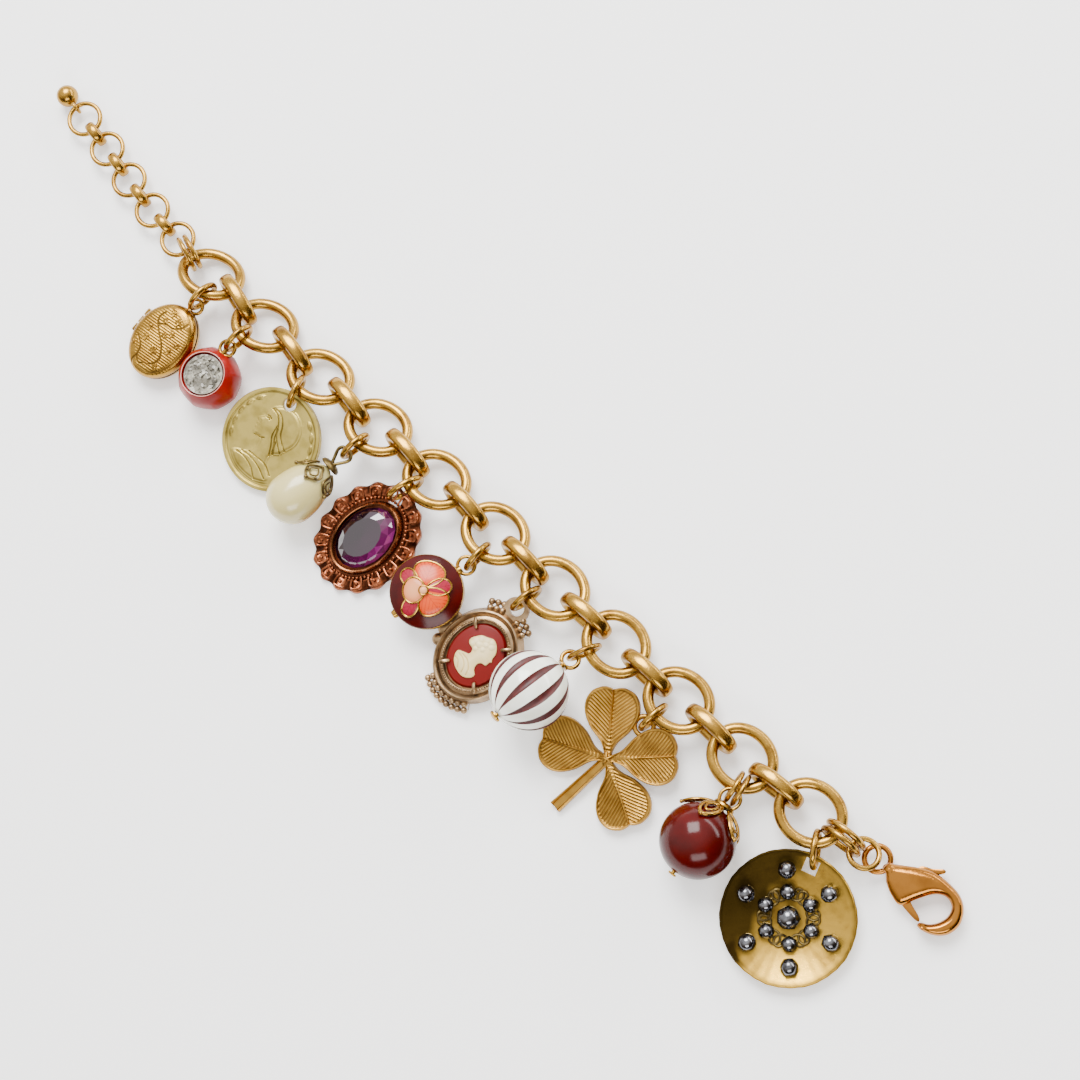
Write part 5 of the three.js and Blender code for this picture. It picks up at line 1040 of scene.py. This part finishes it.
class ORCHID_OT_make(bpy.types.Operator):
    """Makes the puffed bead: dark red enamel, an enamelled orchid outlined in wire, and a gold band round its edge"""

    bl_idname = "bracelet.orchid"
    bl_label = "Enamelled orchid bead"

    def execute(self, context):
        c = ORCHID
        radius = c["radius"]
        gold = "brass_gilt_worn"

        def dome(reach):
            return (c["thick"] - (c["thick"] - c["edge"]) * (reach / radius) ** 2) / 2

        share = np.sin(np.linspace(0, np.pi / 2, 40)) * 0.965
        top = np.stack([share * radius, dome(share * radius)], axis=1)
        edge = c["edge"] / 2
        rows = np.concatenate([top, [(radius * 0.985, edge * 0.95), (radius * 0.985, -edge * 0.95)],
                               top[::-1] * (1, -1)])
        parts = [(lathe(rows, 120), "enamel_dark_red", True)]
        band = [(radius * 0.95, edge * 1.15), (radius * 0.99, edge * 0.95), (radius, edge * 0.6),
                (radius, -edge * 0.6), (radius * 0.99, -edge * 0.95), (radius * 0.95, -edge * 1.15)]
        parts.append((grid(lathe(band, 120)[0].reshape(6, 120, 3), wrap_rows=True), gold, True))
        for index, (root, long, wide, degrees, taper, kind) in enumerate(ORCHID_BLOOMS):
            outline = petal_outline(root, long * radius, wide * radius, degrees, taper)
            middle = outline.mean(axis=0)
            lift = c["relief"] * (1.5 if kind == 3 else 1.0)
            way = np.radians(degrees)

            def height(x, y, share, middle=middle, lift=lift):
                px, py = x + middle[0], y + middle[1]
                return dome(np.hypot(px, py)) + lift * (1 - 0.5 * share ** 6)

            def marks(x, y, share, middle=middle, root=root, way=way, kind=kind):
                px, py = x + middle[0] - root[0], y + middle[1] - root[1]
                along = px * np.cos(way) + py * np.sin(way)
                across = np.abs(-px * np.sin(way) + py * np.cos(way))
                veins = ridge(np.abs((along - 0.9 * across) * 1.35 % 1.0 - 0.5), 0.16)
                spine = ridge(across, 0.09)
                return np.clip(0.15 + 0.45 * np.maximum(veins, spine) * (kind < 3) + 0.35 * share ** 2, 0, 1)

            flat = outline - middle
            face = relief(flat, height, (), 26, 0.0, marks)
            points = face[0].reshape(27, len(flat), 3)[:26]
            low = points[-1:].copy()
            low[..., 2] -= lift + 0.25
            centre = np.concatenate([low[0][:, :2] * 0, np.full((len(flat), 1), low[0][:, 2].min())], axis=1)[None]
            tone = np.concatenate([face[2].reshape(27, -1)[:26], np.full((2, len(flat)), 0.5)])
            pad = grid(np.concatenate([points, low, centre]) + np.array([*middle, 0]), tone=tone)
            parts.append((pad, ("", "enamel_orange", "enamel_rose", "enamel_blush")[kind], True))
            reach = np.hypot(*outline.T)
            path = np.concatenate([outline, (dome(reach) + lift * 0.72)[:, None]], axis=1)
            parts.append((wire(path, 0.16, sides=8), gold, True))
        parts.append((bead((0, 0, dome(0) + 0.55), 0.62, 12, 20, squash=0.7), "enamel_blush", True))
        parts.append((ring(1.7, 0.26, (0, 0, dome(0) + 0.6), 32, 8), gold, True))
        loop_at = radius + c["loop"] / 2 - 0.2
        parts.append((ring(c["loop"], c["wire"], (0, loop_at, 0), 56), gold, True))
        for end in (-1, 1):
            parts.append((moved(lathe([(0, -0.6), (0.6, -0.6), (0.75, 0), (0.6, 0.6), (0, 0.6)], 24, axis="y"),
                                (0, end * radius, 0)), gold, True))
        make("orchid_bead", parts, "orchid", (0, -loop_at - (c["loop"] - c["wire"]) / 2, 0))
        return {"FINISHED"}


class CAMEO_OT_make(bpy.types.Operator):
    """Makes the cameo: an oval setting with a beaded inner line, beaded ends, lobed sides and prongs, and a carved
    stone with a plain classical bust"""

    bl_idname = "bracelet.cameo"
    bl_label = "Cameo"

    def execute(self, context):
        c = CAMEO
        long, wide, thick = c["long"], c["wide"], c["thick"]
        a, b, stone_high = c["stone"]
        gilt = "gilt_pale_worn"
        top = thick + c["rise"]
        floor = thick * 0.7
        seat = a + AIR
        rows = np.array([(0, 0), (long * 0.97, 0), (long, 0.2), (long, thick * 0.5), (long - 0.25, thick * 0.9),
                         (long - c["rim"] * 0.45, top - 0.12), (long - c["rim"] * 0.62, top),
                         (long - c["rim"] * 0.95, top - 0.35), (long - c["rim"] * 1.15, top * 0.72),
                         (seat + 0.35, top * 0.78), (seat + 0.12, top * 0.98), (seat, top * 0.95), (seat, floor),
                         (0, floor)])
        points, faces, tones = lathe(rows, 160)
        inward = np.clip((long - np.hypot(points[:, 0], points[:, 1])) / (long - seat), 0, 1)
        oval = (1 - inward) * wide / long + inward * (b + AIR) / seat
        setting = (points * np.stack([oval, np.ones_like(oval), np.ones_like(oval)], axis=1), faces, tones)
        parts = [(setting, gilt, True)]
        ear_at = long + c["bead"] * 1.2
        hole_at = ear_at + (c["ear"] / 2 - c["hole"]) * 0.3
        for index in range(84):
            at = index / 84 * TURN
            parts.append((bead(((b + AIR + 0.25) * np.sin(at), (seat + 0.25) * np.cos(at), top * 0.96), 0.21, 6, 8,
                               tone=0.05), gilt, True))
        size = c["bead"] / 2
        for end in (0, np.pi):
            for count, out, high, gap in ((9, 1.05, 0.6, 7.4), (8, 0.05, 0.95, 8.4)):
                for index in range(count):
                    at = end + np.radians(gap) * (index - (count - 1) / 2)
                    spot = ((wide + out) * np.sin(at), (long + out) * np.cos(at), size * 2 * high)
                    if np.hypot(spot[0], spot[1] - hole_at) > c["hole"] + size:
                        parts.append((bead(spot, size * 1.02, 10, 14), gilt, True))
            flange = [end + np.radians(step_deg) for step_deg in range(-34, 35, 4)]
            fan = [((wide + 1.0) * np.sin(t), (long + 1.0) * np.cos(t)) for t in flange]
            fan = [(px, np.sign(py) * min(abs(py), hole_at - c["hole"] - 0.1)) for px, py in fan]
            fan += [((wide - 1.5) * np.sin(t), (long - 1.5) * np.cos(t)) for t in reversed(flange)]
            parts.append((slab(fan, 0.0, 0.55), gilt, True))
            for index in (-1, 0, 1):
                at = end + np.pi / 2 + np.radians(16) * index
                big = 1.35 if index == 0 else 1.0
                spot = ((wide + 0.05) * np.sin(at), (long + 0.05) * np.cos(at), 0.75)
                parts.append((bead(spot, size * 1.9 * big, 14, 20, squash=0.62), gilt, True))
        for quarter in range(4):
            at = (quarter + 0.5) * np.pi / 2
            root = np.array([(b + 0.75) * np.sin(at), (a + 0.75) * np.cos(at), top * 0.98])
            tip = np.array([(b - 0.55) * np.sin(at), (a - 0.55) * np.cos(at), top * 0.98])
            path = np.stack([root + (tip - root) * part + (0, 0, 0.22 * np.sin(np.pi * part))
                             for part in np.linspace(0, 1, 9)])
            parts.append((wire(path, 0.3, closed=False, sides=8), gilt, True))
        ear = lathe([(0, 0), (c["ear"] / 2 - 0.1, 0), (c["ear"] / 2, 0.15), (c["ear"] / 2, 0.95),
                     (c["ear"] / 2 - 0.1, 1.12), (0, 1.12)], 56)
        parts.insert(0, (moved(ear, (0, ear_at, 0)), gilt, True))
        hole = moved(lathe([(0, -2), (c["hole"], -2), (c["hole"], 5), (0, 5)], 40), (0, hole_at, 0))
        shift = (0, -(hole_at + c["hole"] + ear_at + c["ear"] / 2) / 2, -thick * 0.4)
        make("cameo_frame", parts, "cameo", shift, drill=hole)
        base = floor + AIR
        size = 2 * a
        bust = flowing(np.array(CAMEO_BUST) * size, 180, True)
        folds = [flowing(np.array(path) * size, 30) for path in CAMEO_FOLDS]

        def carving(x, y):
            inside = within(x, y, bust)
            body = step(inside, 0.0, 0.22)
            curls = np.max([np.clip(1 - (np.hypot(x - cx * size, y - cy * size) / (r * size)) ** 2, 0, 1)
                            for cx, cy, r in CAMEO_CURLS], axis=0)
            lines = np.max([ridge(away_from(x, y, path), 0.16) for path in folds], axis=0)
            swell = step(inside, 0.0, 1.6)
            return body, curls * body, lines * body, swell

        def height(x, y, share):
            body, curls, lines, swell = carving(x, y)
            curve = base + stone_high * (1 - 0.35 * share ** 2) - 0.35 * step(share, 0.93, 1.0)
            return curve - 0.15 + c["relief"] * (0.45 * body + 0.35 * swell + 0.35 * curls - 0.25 * lines)

        def marks(x, y, share):
            body, curls, lines, swell = carving(x, y)
            return np.clip(0.5 * step(body, 0.2, 0.5) + body * (0.22 + 0.2 * swell + 0.2 * curls - 0.25 * lines), 0, 1)

        stone = relief(circle(b, a, 320), height, ((1.0, base + 0.3), (0.98, base)), 124, base, marks)
        make("cameo_stone", [(stone, "cameo_red_and_cream", True)], "cameo", shift)
        return {"FINISHED"}


def headed_pin(bead_radius, across, head, loop, cup=1.0):
    """A pin along Y through a bead, a flat head below it, a collar and a loop above."""
    reach = bead_radius + AIR
    thick = head * 0.25
    loop_at = reach + thick * 0.5 + (loop - across) / 2
    rod = lathe([(0, -reach), (across / 2, -reach), (across / 2, reach + thick), (0, reach + thick)], 20, axis="y")
    button_end = [(0, 0), (head / 2 * 0.6, 0), (head / 2 * 0.92, thick * 0.25), (head / 2, thick * 0.6),
                  (head / 2, thick), (0, thick)]
    low = [(r, -reach - thick + y) for r, y in button_end]
    high = [(r, reach + thick - y) for r, y in button_end]
    parts = [rod, lathe(low, 40, axis="y"), lathe(high, 40, axis="y"), ring(loop, across, (0, loop_at, 0), 56)]
    return parts, (0, -loop_at - (loop - across) / 2, 0)


class STRIPED_OT_make(bpy.types.Operator):
    """Makes the white ball, carved from pole to pole with grooves painted red, on its pin"""

    bl_idname = "bracelet.striped"
    bl_label = "Striped ball"

    def execute(self, context):
        c = STRIPED
        radius, count = c["radius"], c["stripes"]
        down = np.linspace(0.13, np.pi - 0.13, 72)[:, None]
        lens = 0.2 * np.sin((down - 0.13) / (np.pi - 0.26) * np.pi) ** 0.75
        inside, outside = np.linspace(-1, 1, 9), np.linspace(0, 1, 12)[1:-1]
        stripe = np.concatenate([lens * inside, lens + (1 - 2 * lens) * outside], axis=1)
        within_lens = np.tile(np.concatenate([1 - inside ** 2, outside * 0]), count)
        turn = (np.repeat(np.arange(count), stripe.shape[1]) + np.tile(stripe, (1, count))) / count * TURN
        cut = within_lens * step(lens, 0.0, 0.12)
        reach = radius - c["depth"] * cut
        points = np.stack([reach * np.sin(down) * np.cos(turn), radius * np.cos(down) * np.ones_like(turn),
                           reach * np.sin(down) * np.sin(turn)], axis=-1)
        ends = [np.stack([0.65 * np.cos(row), np.full_like(row, way * radius * np.cos(0.13) * 0.995),
                          0.65 * np.sin(row)], axis=-1)[None] for way, row in ((1, turn[0]), (-1, turn[-1]))]
        surface = grid(np.concatenate([ends[0], points, ends[1]]), wrap_rows=True)
        quads = surface[1]
        column = quads[:, 0] % turn.shape[1] % stripe.shape[1]
        row = quads[:, 0] // turn.shape[1]
        red = (column < len(inside) - 1) & (row > 1) & (row < len(down) - 1)
        white = (surface[0], quads[~red], surface[2])
        groove = (surface[0], quads[red], surface[2])
        pin, shift = headed_pin(radius, c["pin"], c["head"], c["loop"])
        make("striped_ball", [(white, "lacquer_white", True), (groove, "paint_groove_red", True)], "striped", shift)
        make("striped_pin", [(part, "brass_gilt_worn", True) for part in pin], "striped", shift)
        return {"FINISHED"}


class CLOVER_OT_make(bpy.types.Operator):
    """Makes the clover: four stamped leaves with a midrib, curved veins and a raised rim, and a grooved stem"""

    bl_idname = "bracelet.clover"
    bl_label = "Four-leaf clover"

    def execute(self, context):
        c = CLOVER
        reach, wide, thick = c["reach"], c["wide"], c["thick"]
        brass = "brass_satin_stamped"
        vein = context.scene.bracelet_clover.veins
        side = flowing([(0, 0.35), (2.3, 1.2), (4.4, 3.1), (6.6, 4.25), (8.6, 4.35), (10.2, 3.5), (11.0, 2.0),
                        (11.05, 0.9), (10.75, 0.0)], 110)
        outline = np.concatenate([side * (1, -1), side[-2:0:-1]])
        middle = np.array([6.6, 0.0])
        flat = outline - middle

        def lines(x, y):
            px = x + middle[0]
            across = np.abs(y)
            fan = (px - 1.0 * across ** 0.9) / 0.62
            veins = np.cos(TURN * fan) * 0.5 + 0.5
            spine = ridge(across, 0.42 - 0.02 * px)
            return veins, spine

        def height(x, y, share):
            veins, spine = lines(x, y)
            rim = step(share, 0.86, 0.93) * (1 - 0.9 * step(share, 0.965, 1.0))
            cup = 0.22 * share ** 2
            return thick * 0.85 + 0.34 * spine + vein * veins * (1 - rim) * (1 - spine) + 0.26 * rim + cup \
                - 0.28 * step(share, 0.97, 1.0)

        def marks(x, y, share):
            veins, spine = lines(x, y)
            rim = step(share, 0.84, 0.95)
            return np.clip(0.55 * (1 - veins) * (1 - rim) * (1 - spine), 0, 0.8)

        leaf = relief(flat, height, ((1.0, thick * 0.5), (0.99, 0.0)), 84, 0.0, marks)
        leaf = moved(leaf, (*middle, 0))
        parts = [(moved(leaf, turn=degrees), brass, True) for degrees in c["leaves"]]
        half = c["stem"] / 2
        rows = np.array([(-half, 0.0), (-half, 1.0), (-half * 0.72, 1.15), (-half * 0.5, 0.72), (half * 0.5, 0.72),
                         (half * 0.72, 1.15), (half, 1.0), (half, 0.0)])
        along = np.linspace(0, reach, 24)
        widen = 0.7 + 0.3 * along / reach
        stem = np.stack([along[:, None] * np.ones(8), rows[:, 0] * widen[:, None], rows[:, 1] * np.ones((24, 1))],
                        axis=-1)
        ends = [np.repeat(stem[i].mean(axis=0)[None], 8, axis=0)[None] for i in (0, -1)]
        stem = grid(np.concatenate([ends[0], stem, ends[1]]), tone=0.12)
        parts.append((moved(stem, turn=c["stem_deg"]), brass, True))
        star = circle(1.0, 1.0, 60)
        star *= (0.9 + 0.35 * np.cos(5 * np.arange(60) / 60 * TURN))[:, None]
        boss = relief(star, lambda x, y, s: 1.55 - 0.5 * s ** 2, ((1.0, 0.6),), 10, 0.6)
        parts.append((boss, brass, True))
        bail_at = reach * 0.68
        high = c["wire"] * 0.45
        parts.append((ring(c["bail"], c["wire"], (0, bail_at, high), 56), brass, True))
        make("clover", parts, "clover", (0, -bail_at - (c["bail"] - c["wire"]) / 2, -high))
        return {"FINISHED"}


class DARK_OT_make(bpy.types.Operator):
    """Makes the dark bead, its open cap of wire petals with a smaller loop in each, the pin and the loop"""

    bl_idname = "bracelet.dark"
    bl_label = "Dark bead"

    def execute(self, context):
        c = DARK
        radius = c["radius"]
        down = np.linspace(0.1, np.pi - 0.1, 64)
        profile = np.stack([radius * np.sin(down), radius * np.cos(down)], axis=1)
        bore = (c["pin"] / 2 + AIR) * 0.95
        profile = np.concatenate([[(bore, profile[0, 1])], profile, [(bore, profile[-1, 1])]])
        body = grid(lathe(profile, 96, axis="y")[0].reshape(len(profile), 96, 3), wrap_rows=True)
        pin, shift = headed_pin(radius, c["pin"], c["head"], c["loop"])
        make("dark_bead", [(body, "glass_dark_red", True)], "dark", shift)
        parts = list(pin)
        turn = np.arange(48) / 48 * TURN
        for index in range(c["petals"]):
            around = (index + 0.5) * TURN / c["petals"]
            for size, thin in ((1.0, 0.3), (0.55, 0.2)):
                polar = 0.62 - 0.4 * size * np.cos(turn)
                azimuth = around + 0.48 * size * np.sin(turn) * (0.75 + 0.25 * np.cos(turn))
                reach = radius + AIR + 0.2
                path = np.stack([reach * np.sin(polar) * np.cos(azimuth), reach * np.cos(polar),
                                 reach * np.sin(polar) * np.sin(azimuth)], axis=1)
                parts.append(wire(path, thin, up=unit(path), sides=10, flat=0.8))
            tip = np.array([np.sin(1.05) * np.cos(around), np.cos(1.05), np.sin(1.05) * np.sin(around)])
            parts.append(bead(tip * (radius + AIR + 0.25), 0.34))
        crown = [(0, 0.9), (1.2, 0.9), (1.75, 0.55), (1.8, 0.25), (1.2, 0.1), (0, 0.1)]
        parts.append(lathe([(r, radius + AIR + y) for r, y in crown], 40, axis="y"))
        make("dark_cap", [(part, "brass_gilt_worn", True) for part in parts], "dark", shift)
        return {"FINISHED"}


def facet_bead(radius, centre, tilt, rng):
    """A cut steel bead: four rings of six corners and two poles, joined by flat facets."""
    corners, faces = [(0, 0, 1)], []
    for high, count, start in ((0.8, 6, 0.0), (0.3, 6, 0.5), (-0.3, 6, 0.0), (-0.8, 6, 0.5)):
        flat = np.sqrt(1 - high * high)
        corners += [(flat * np.cos((i + start) * TURN / count), flat * np.sin((i + start) * TURN / count), high)
                    for i in range(count)]
    corners.append((0, 0, -1))
    faces += [(0, 1 + i, 1 + (i + 1) % 6, 1 + (i + 1) % 6) for i in range(6)]
    for row in range(3):
        lean = 0 if row % 2 == 0 else -1
        for i in range(6):
            a, b = 1 + row * 6 + i, 1 + row * 6 + (i + 1) % 6
            low = 7 + row * 6 + (i + (0 if row % 2 == 0 else 1)) % 6
            after = 7 + row * 6 + (i + (1 if row % 2 == 0 else 2)) % 6
            faces += [(a, low, b, b), (b, low, after, after)]
    faces += [(25, 19 + (i + 1) % 6, 19 + i, 19 + i) for i in range(6)]
    return moved((np.array(corners) * radius, np.array(faces), rng.uniform(0, 0.35, len(corners))), centre,
                 tilt[0], (tilt[1], tilt[2]))


class BUTTON_OT_make(bpy.types.Operator):
    """Makes the dished button with cut-steel beads, dark wire curls between them and a square hole"""

    bl_idname = "bracelet.button"
    bl_label = "Steel-beaded button"

    def execute(self, context):
        c = BUTTON
        radius, sheet = c["radius"], c["sheet"]
        rng = np.random.default_rng(SEED + 2)

        def dip(reach):
            return c["dip"] * (reach / radius) ** 2

        steps = 300
        turn = np.arange(steps) / steps * TURN
        ragged = 1 - 0.006 * np.abs(np.sin(5 * turn + 1)) - 0.004 * np.sin(17 * turn) ** 2
        outline = circle(radius, radius, steps) * ragged[:, None]

        def height(x, y, share):
            lip = 0.1 * ridge(np.abs(share - 0.975), 0.02) - 0.2 * step(share, 0.985, 1.0)
            return dip(share * radius) + sheet + lip

        def marks(x, y, share):
            # Painted shade: one side of the dish is painted nearly black
            painted_shade_side = step(-x * 0.98 + y * 0.2 + 1.3 * np.sin(0.9 * x + 0.7 * y) * np.cos(0.6 * y - 1), -0.5, 5.5)
            centre = ridge(share, 0.6)
            rim = ridge(np.abs(share - 0.95), 0.05)
            return np.clip(0.95 * painted_shade_side + 0.35 * centre + 0.3 * rim, 0, 0.92)

        share = np.linspace(0, 1, 90)[:, None]
        x, y = share * outline[:, 0], share * outline[:, 1]
        upper = np.stack([x, y, height(x, y, share * np.ones_like(x))], axis=-1)
        lower = np.stack([x, y, dip(share * radius) * np.ones_like(x)], axis=-1)[::-1]
        tones = np.concatenate([marks(x, y, share * np.ones_like(x)), np.full(lower.shape[:2], 0.35)])
        dish = grid(np.concatenate([upper, lower]), tone=tones)
        parts = [(dish, "brass_button_patina", True)]
        spots = [(c["centre"], 0, 0)]
        for index in range(c["count"]):
            at = c["start"] + index * 360 / c["count"]
            spots += [(c["inner"], c["inner_ring"], at), (c["outer"], c["outer_ring"], at)]
        for size, reach, at in spots:
            way = np.radians(at)
            spot = (reach * np.cos(way), reach * np.sin(way), dip(reach) + sheet + size * 0.32)
            parts.append((facet_bead(size / 2, spot, (rng.uniform(0, 60), rng.uniform(-14, 14),
                                                      rng.uniform(-14, 14)), rng), "steel_cut_polished", False))
            cup = lathe([(0, 0), (size * 0.42, 0), (size * 0.46, 0.3), (size * 0.3, 0.45), (0, 0.45)], 24)
            parts.append((moved(cup, (spot[0], spot[1], dip(reach) + sheet - 0.15)), "brass_antiqued", True))
        for index in range(c["count"]):
            at = np.radians(c["start"] + (index + 0.5) * 360 / c["count"])
            for way in (-1, 1):
                curl = np.linspace(0, 1, 34)
                spin = way * curl * 2.3 * np.pi
                size = 1.25 * (1 - curl) + 0.25
                px = 3.9 * np.cos(at) + size * np.cos(at + np.pi / 2 * way + spin) + 0.55 * way * -np.sin(at)
                py = 3.9 * np.sin(at) + size * np.sin(at + np.pi / 2 * way + spin) + 0.55 * way * np.cos(at)
                path = np.stack([px, py, dip(np.hypot(px, py)) + sheet + 0.22], axis=1)
                parts.append((wire(path, 0.2, closed=False, sides=7, tone=0.3), "brass_antiqued", True))
        hole_at = radius - c["inset"]
        side = c["hole"] / 2
        hole = slab([(-side, -side), (side, -side), (side, side), (-side, side)], -3, 8)
        strip = c["inset"] - side
        make("button", parts, "button", (0, strip / 2 - radius, -c["dip"] - sheet / 2 * 0.6),
             drill=moved(hole, (0, hole_at, 0)))
        return {"FINISHED"}


class CLASP_OT_make(bpy.types.Operator):
    """Makes the lobster clasp: a domed hook with its eye, slotted for a sprung lever with a thumb piece"""

    bl_idname = "bracelet.clasp"
    bl_label = "Clasp"

    def execute(self, context):
        c = CLASP
        size = np.array([c["length"], c["width"]])
        brass = "brass_polished_clasp"
        thick = c["thick"]
        outline = flowing(np.array(CLASP_OUTLINE) * size, 200, True)
        swell = np.linspace(0, np.pi / 2, 12)
        rows = [(1 - np.sin(t), 1.25 * (1 - np.cos(t))) for t in swell]
        body = slab(outline, 0, thick, rows, most=2.2)
        eye = ring(*c["eye"], at=(0, 0, thick / 2), rows=56)
        neck = wire([(c["eye"][0] / 2 - 0.4, 0, thick / 2), (3.2, 0, thick / 2)], 0.75, closed=False, sides=14)
        slot = slab(np.array([(0.22, -0.6), (0.59, -0.6), (0.59, 0.9), (0.22, 0.9)]) * size, thick / 2 - 0.8,
                    thick / 2 + 0.8)
        make("clasp_body", [(body, brass, True), (eye, brass, True), (neck, brass, True)], "clasp", drill=slot)
        lever = slab(flowing(np.array(CLASP_LEVER) * size, 120, True), thick / 2 - 0.5, thick / 2 + 0.5,
                     [(0.16, 0.0), (0.05, 0.05), (0.0, 0.16)])
        make("clasp_lever", [(lever, brass, True)], "clasp", body="lever")
        return {"FINISHED"}


# ---------------------------------------------------------------- stage

class STAGE_OT_make(bpy.types.Operator):
    """Makes the pale floor, the soft lights and the camera"""

    bl_idname = "bracelet.stage"
    bl_label = "Stage"

    def execute(self, context):
        s = context.scene.bracelet_stage
        mesh = bpy.data.meshes.new("floor")
        reach = 3.0
        mesh.from_pydata([(-reach, -reach, 0), (reach, -reach, 0), (reach, reach, 0), (-reach, reach, 0)], [],
                         [(0, 1, 2, 3)])
        floor = bpy.data.objects.new("floor", mesh)
        floor.location.z = -0.00002
        context.scene.collection.objects.link(floor)
        tree = blank("paper_white_matt")
        finish_with(tree, {"Base Color": linear(s.floor), "Roughness": 0.9, "Specular IOR Level": 0.1,
                           "Emission Color": linear(s.floor), "Emission Strength": s.glow})
        mesh.materials.append(bpy.data.materials["paper_white_matt"])
        world = bpy.data.worlds.new("studio")
        context.scene.world = world
        world.use_nodes = True
        tree = world.node_tree
        tree.nodes.clear()
        way = add(tree, "ShaderNodeTexCoord").outputs["Generated"]
        towards = Vector((-0.7, 0.2, 0.68)).normalized()
        facing = add(tree, "ShaderNodeVectorMath", {0: way, 1: towards}, operation="DOT_PRODUCT").outputs["Value"]
        bands = levels(tree, facing, -1.0, 1.0)
        sky = ramp(tree, bands, ((0.3, "#1c120a"), (0.5, "#4c3c2c"), (0.62, "#a49a8e"), (0.8, "#fbf9f5"),
                                 (1.0, "#ffffff")))
        back = add(tree, "ShaderNodeBackground", {"Color": sky, "Strength": s.sky})
        add(tree, "ShaderNodeOutputWorld", {"Surface": back.outputs[0]})
        for name, at, size, power in (("key", (-0.35, 0.28, 0.6), (0.42, 0.42), s.key),
                                      ("fill", (0.5, -0.35, 0.45), (0.5, 0.25), s.key * 0.28),
                                      ("strip", (0.1, 0.6, 0.25), (0.7, 0.08), s.key * 0.22)):
            lamp = bpy.data.lights.new(name, "AREA")
            lamp.shape, lamp.size, lamp.size_y, lamp.energy = "RECTANGLE", size[0], size[1], power
            item = bpy.data.objects.new(name, lamp)
            item.location = at
            item.rotation_euler = (-Vector(at)).to_track_quat("-Z", "Y").to_euler()
            context.scene.collection.objects.link(item)
        data = bpy.data.cameras.new("camera")
        data.sensor_width = 36
        data.lens = s.lens
        data.clip_start, data.clip_end = 0.01, 10
        camera = bpy.data.objects.new("camera", data)
        eye, target = Vector((0.09051, 0.01131, 0.321)), Vector((0.01381, 0.01131, 0.0))
        back_way = (eye - target).normalized()
        up = Vector((-1, 1, 0)).normalized()
        right = up.cross(back_way).normalized()
        up = back_way.cross(right)
        turn = Matrix((right, up, back_way)).transposed().to_4x4()
        camera.matrix_world = Matrix.Translation(eye) @ turn
        context.scene.collection.objects.link(camera)
        context.scene.camera = camera
        return {"FINISHED"}


# ---------------------------------------------------------------- settings and panel

class FinishSettings(bpy.types.PropertyGroup):
    brass: bpy.props.StringProperty(name="Brass", description="Colour of the gold-washed brass", default="#a98136")
    brass_rough: bpy.props.FloatProperty(name="Brass roughness", description="How matt the brass is", default=0.24)
    coin: bpy.props.StringProperty(name="Coin", description="Colour of the coin", default="#bba75a")
    copper: bpy.props.StringProperty(name="Copper", description="Colour of the oval frame", default="#96583a")


class ChainSettings(bpy.types.PropertyGroup):
    link_rows: bpy.props.IntProperty(name="Link steps", description="Steps round each link", default=96)


class LocketSettings(bpy.types.PropertyGroup):
    engraving: bpy.props.FloatProperty(name="Engraving (mm)", description="Depth of the engraving", default=0.1)


class CoinSettings(bpy.types.PropertyGroup):
    relief: bpy.props.FloatProperty(name="Relief (mm)", description="Height of the coin's relief", default=0.25)


class CloverSettings(bpy.types.PropertyGroup):
    veins: bpy.props.FloatProperty(name="Veins (mm)", description="Height of the leaves' veins", default=0.13)


class StageSettings(bpy.types.PropertyGroup):
    floor: bpy.props.StringProperty(name="Floor", description="Colour of the floor", default="#f6f6f6")
    sky: bpy.props.FloatProperty(name="Sky", description="Strength of the light from all round", default=1.65)
    glow: bpy.props.FloatProperty(name="Floor glow", description="Light the paper passes through from below",
                                  default=0.55)
    key: bpy.props.FloatProperty(name="Key light (W)", description="Power of the main light", default=12.0)
    lens: bpy.props.FloatProperty(name="Lens (mm)", description="Focal length on a 36 mm wide sensor", default=69.3)


SETTINGS = {"bracelet_finish": FinishSettings, "bracelet_chain": ChainSettings, "bracelet_locket": LocketSettings,
            "bracelet_coin": CoinSettings, "bracelet_clover": CloverSettings, "bracelet_stage": StageSettings}
OPERATORS = (FINISH_OT_make, STAGE_OT_make, CHAIN_OT_make, EXTENDER_OT_make, LOCKET_OT_make, CORAL_OT_make,
             COIN_OT_make, PEARL_OT_make, OVAL_OT_make, ORCHID_OT_make, CAMEO_OT_make, STRIPED_OT_make,
             CLOVER_OT_make, DARK_OT_make, BUTTON_OT_make, CLASP_OT_make)


class BRACELET_PT_panel(bpy.types.Panel):
    """Lists the bracelet's pieces"""

    bl_idname = "BRACELET_PT_panel"
    bl_label = "Charm bracelet"
    bl_space_type = "VIEW_3D"
    bl_region_type = "UI"
    bl_category = "Bracelet"

    def draw(self, context):
        for operator in OPERATORS:
            self.layout.operator(operator.bl_idname)
        for name, kind in SETTINGS.items():
            for key in kind.__annotations__:
                self.layout.prop(getattr(context.scene, name), key)


def register():
    for kind in (*SETTINGS.values(), *OPERATORS, BRACELET_PT_panel):
        bpy.utils.register_class(kind)
    for name, kind in SETTINGS.items():
        setattr(bpy.types.Scene, name, bpy.props.PointerProperty(type=kind))


def unregister():
    for name in SETTINGS:
        delattr(bpy.types.Scene, name)
    for kind in (BRACELET_PT_panel, *reversed(OPERATORS), *SETTINGS.values()):
        bpy.utils.unregister_class(kind)


def main():
    register()
    for operator in OPERATORS:
        group, name = operator.bl_idname.split(".")
        getattr(getattr(bpy.ops, group), name)()
    bpy.context.view_layer.update()


if __name__ == "__main__":
    main()
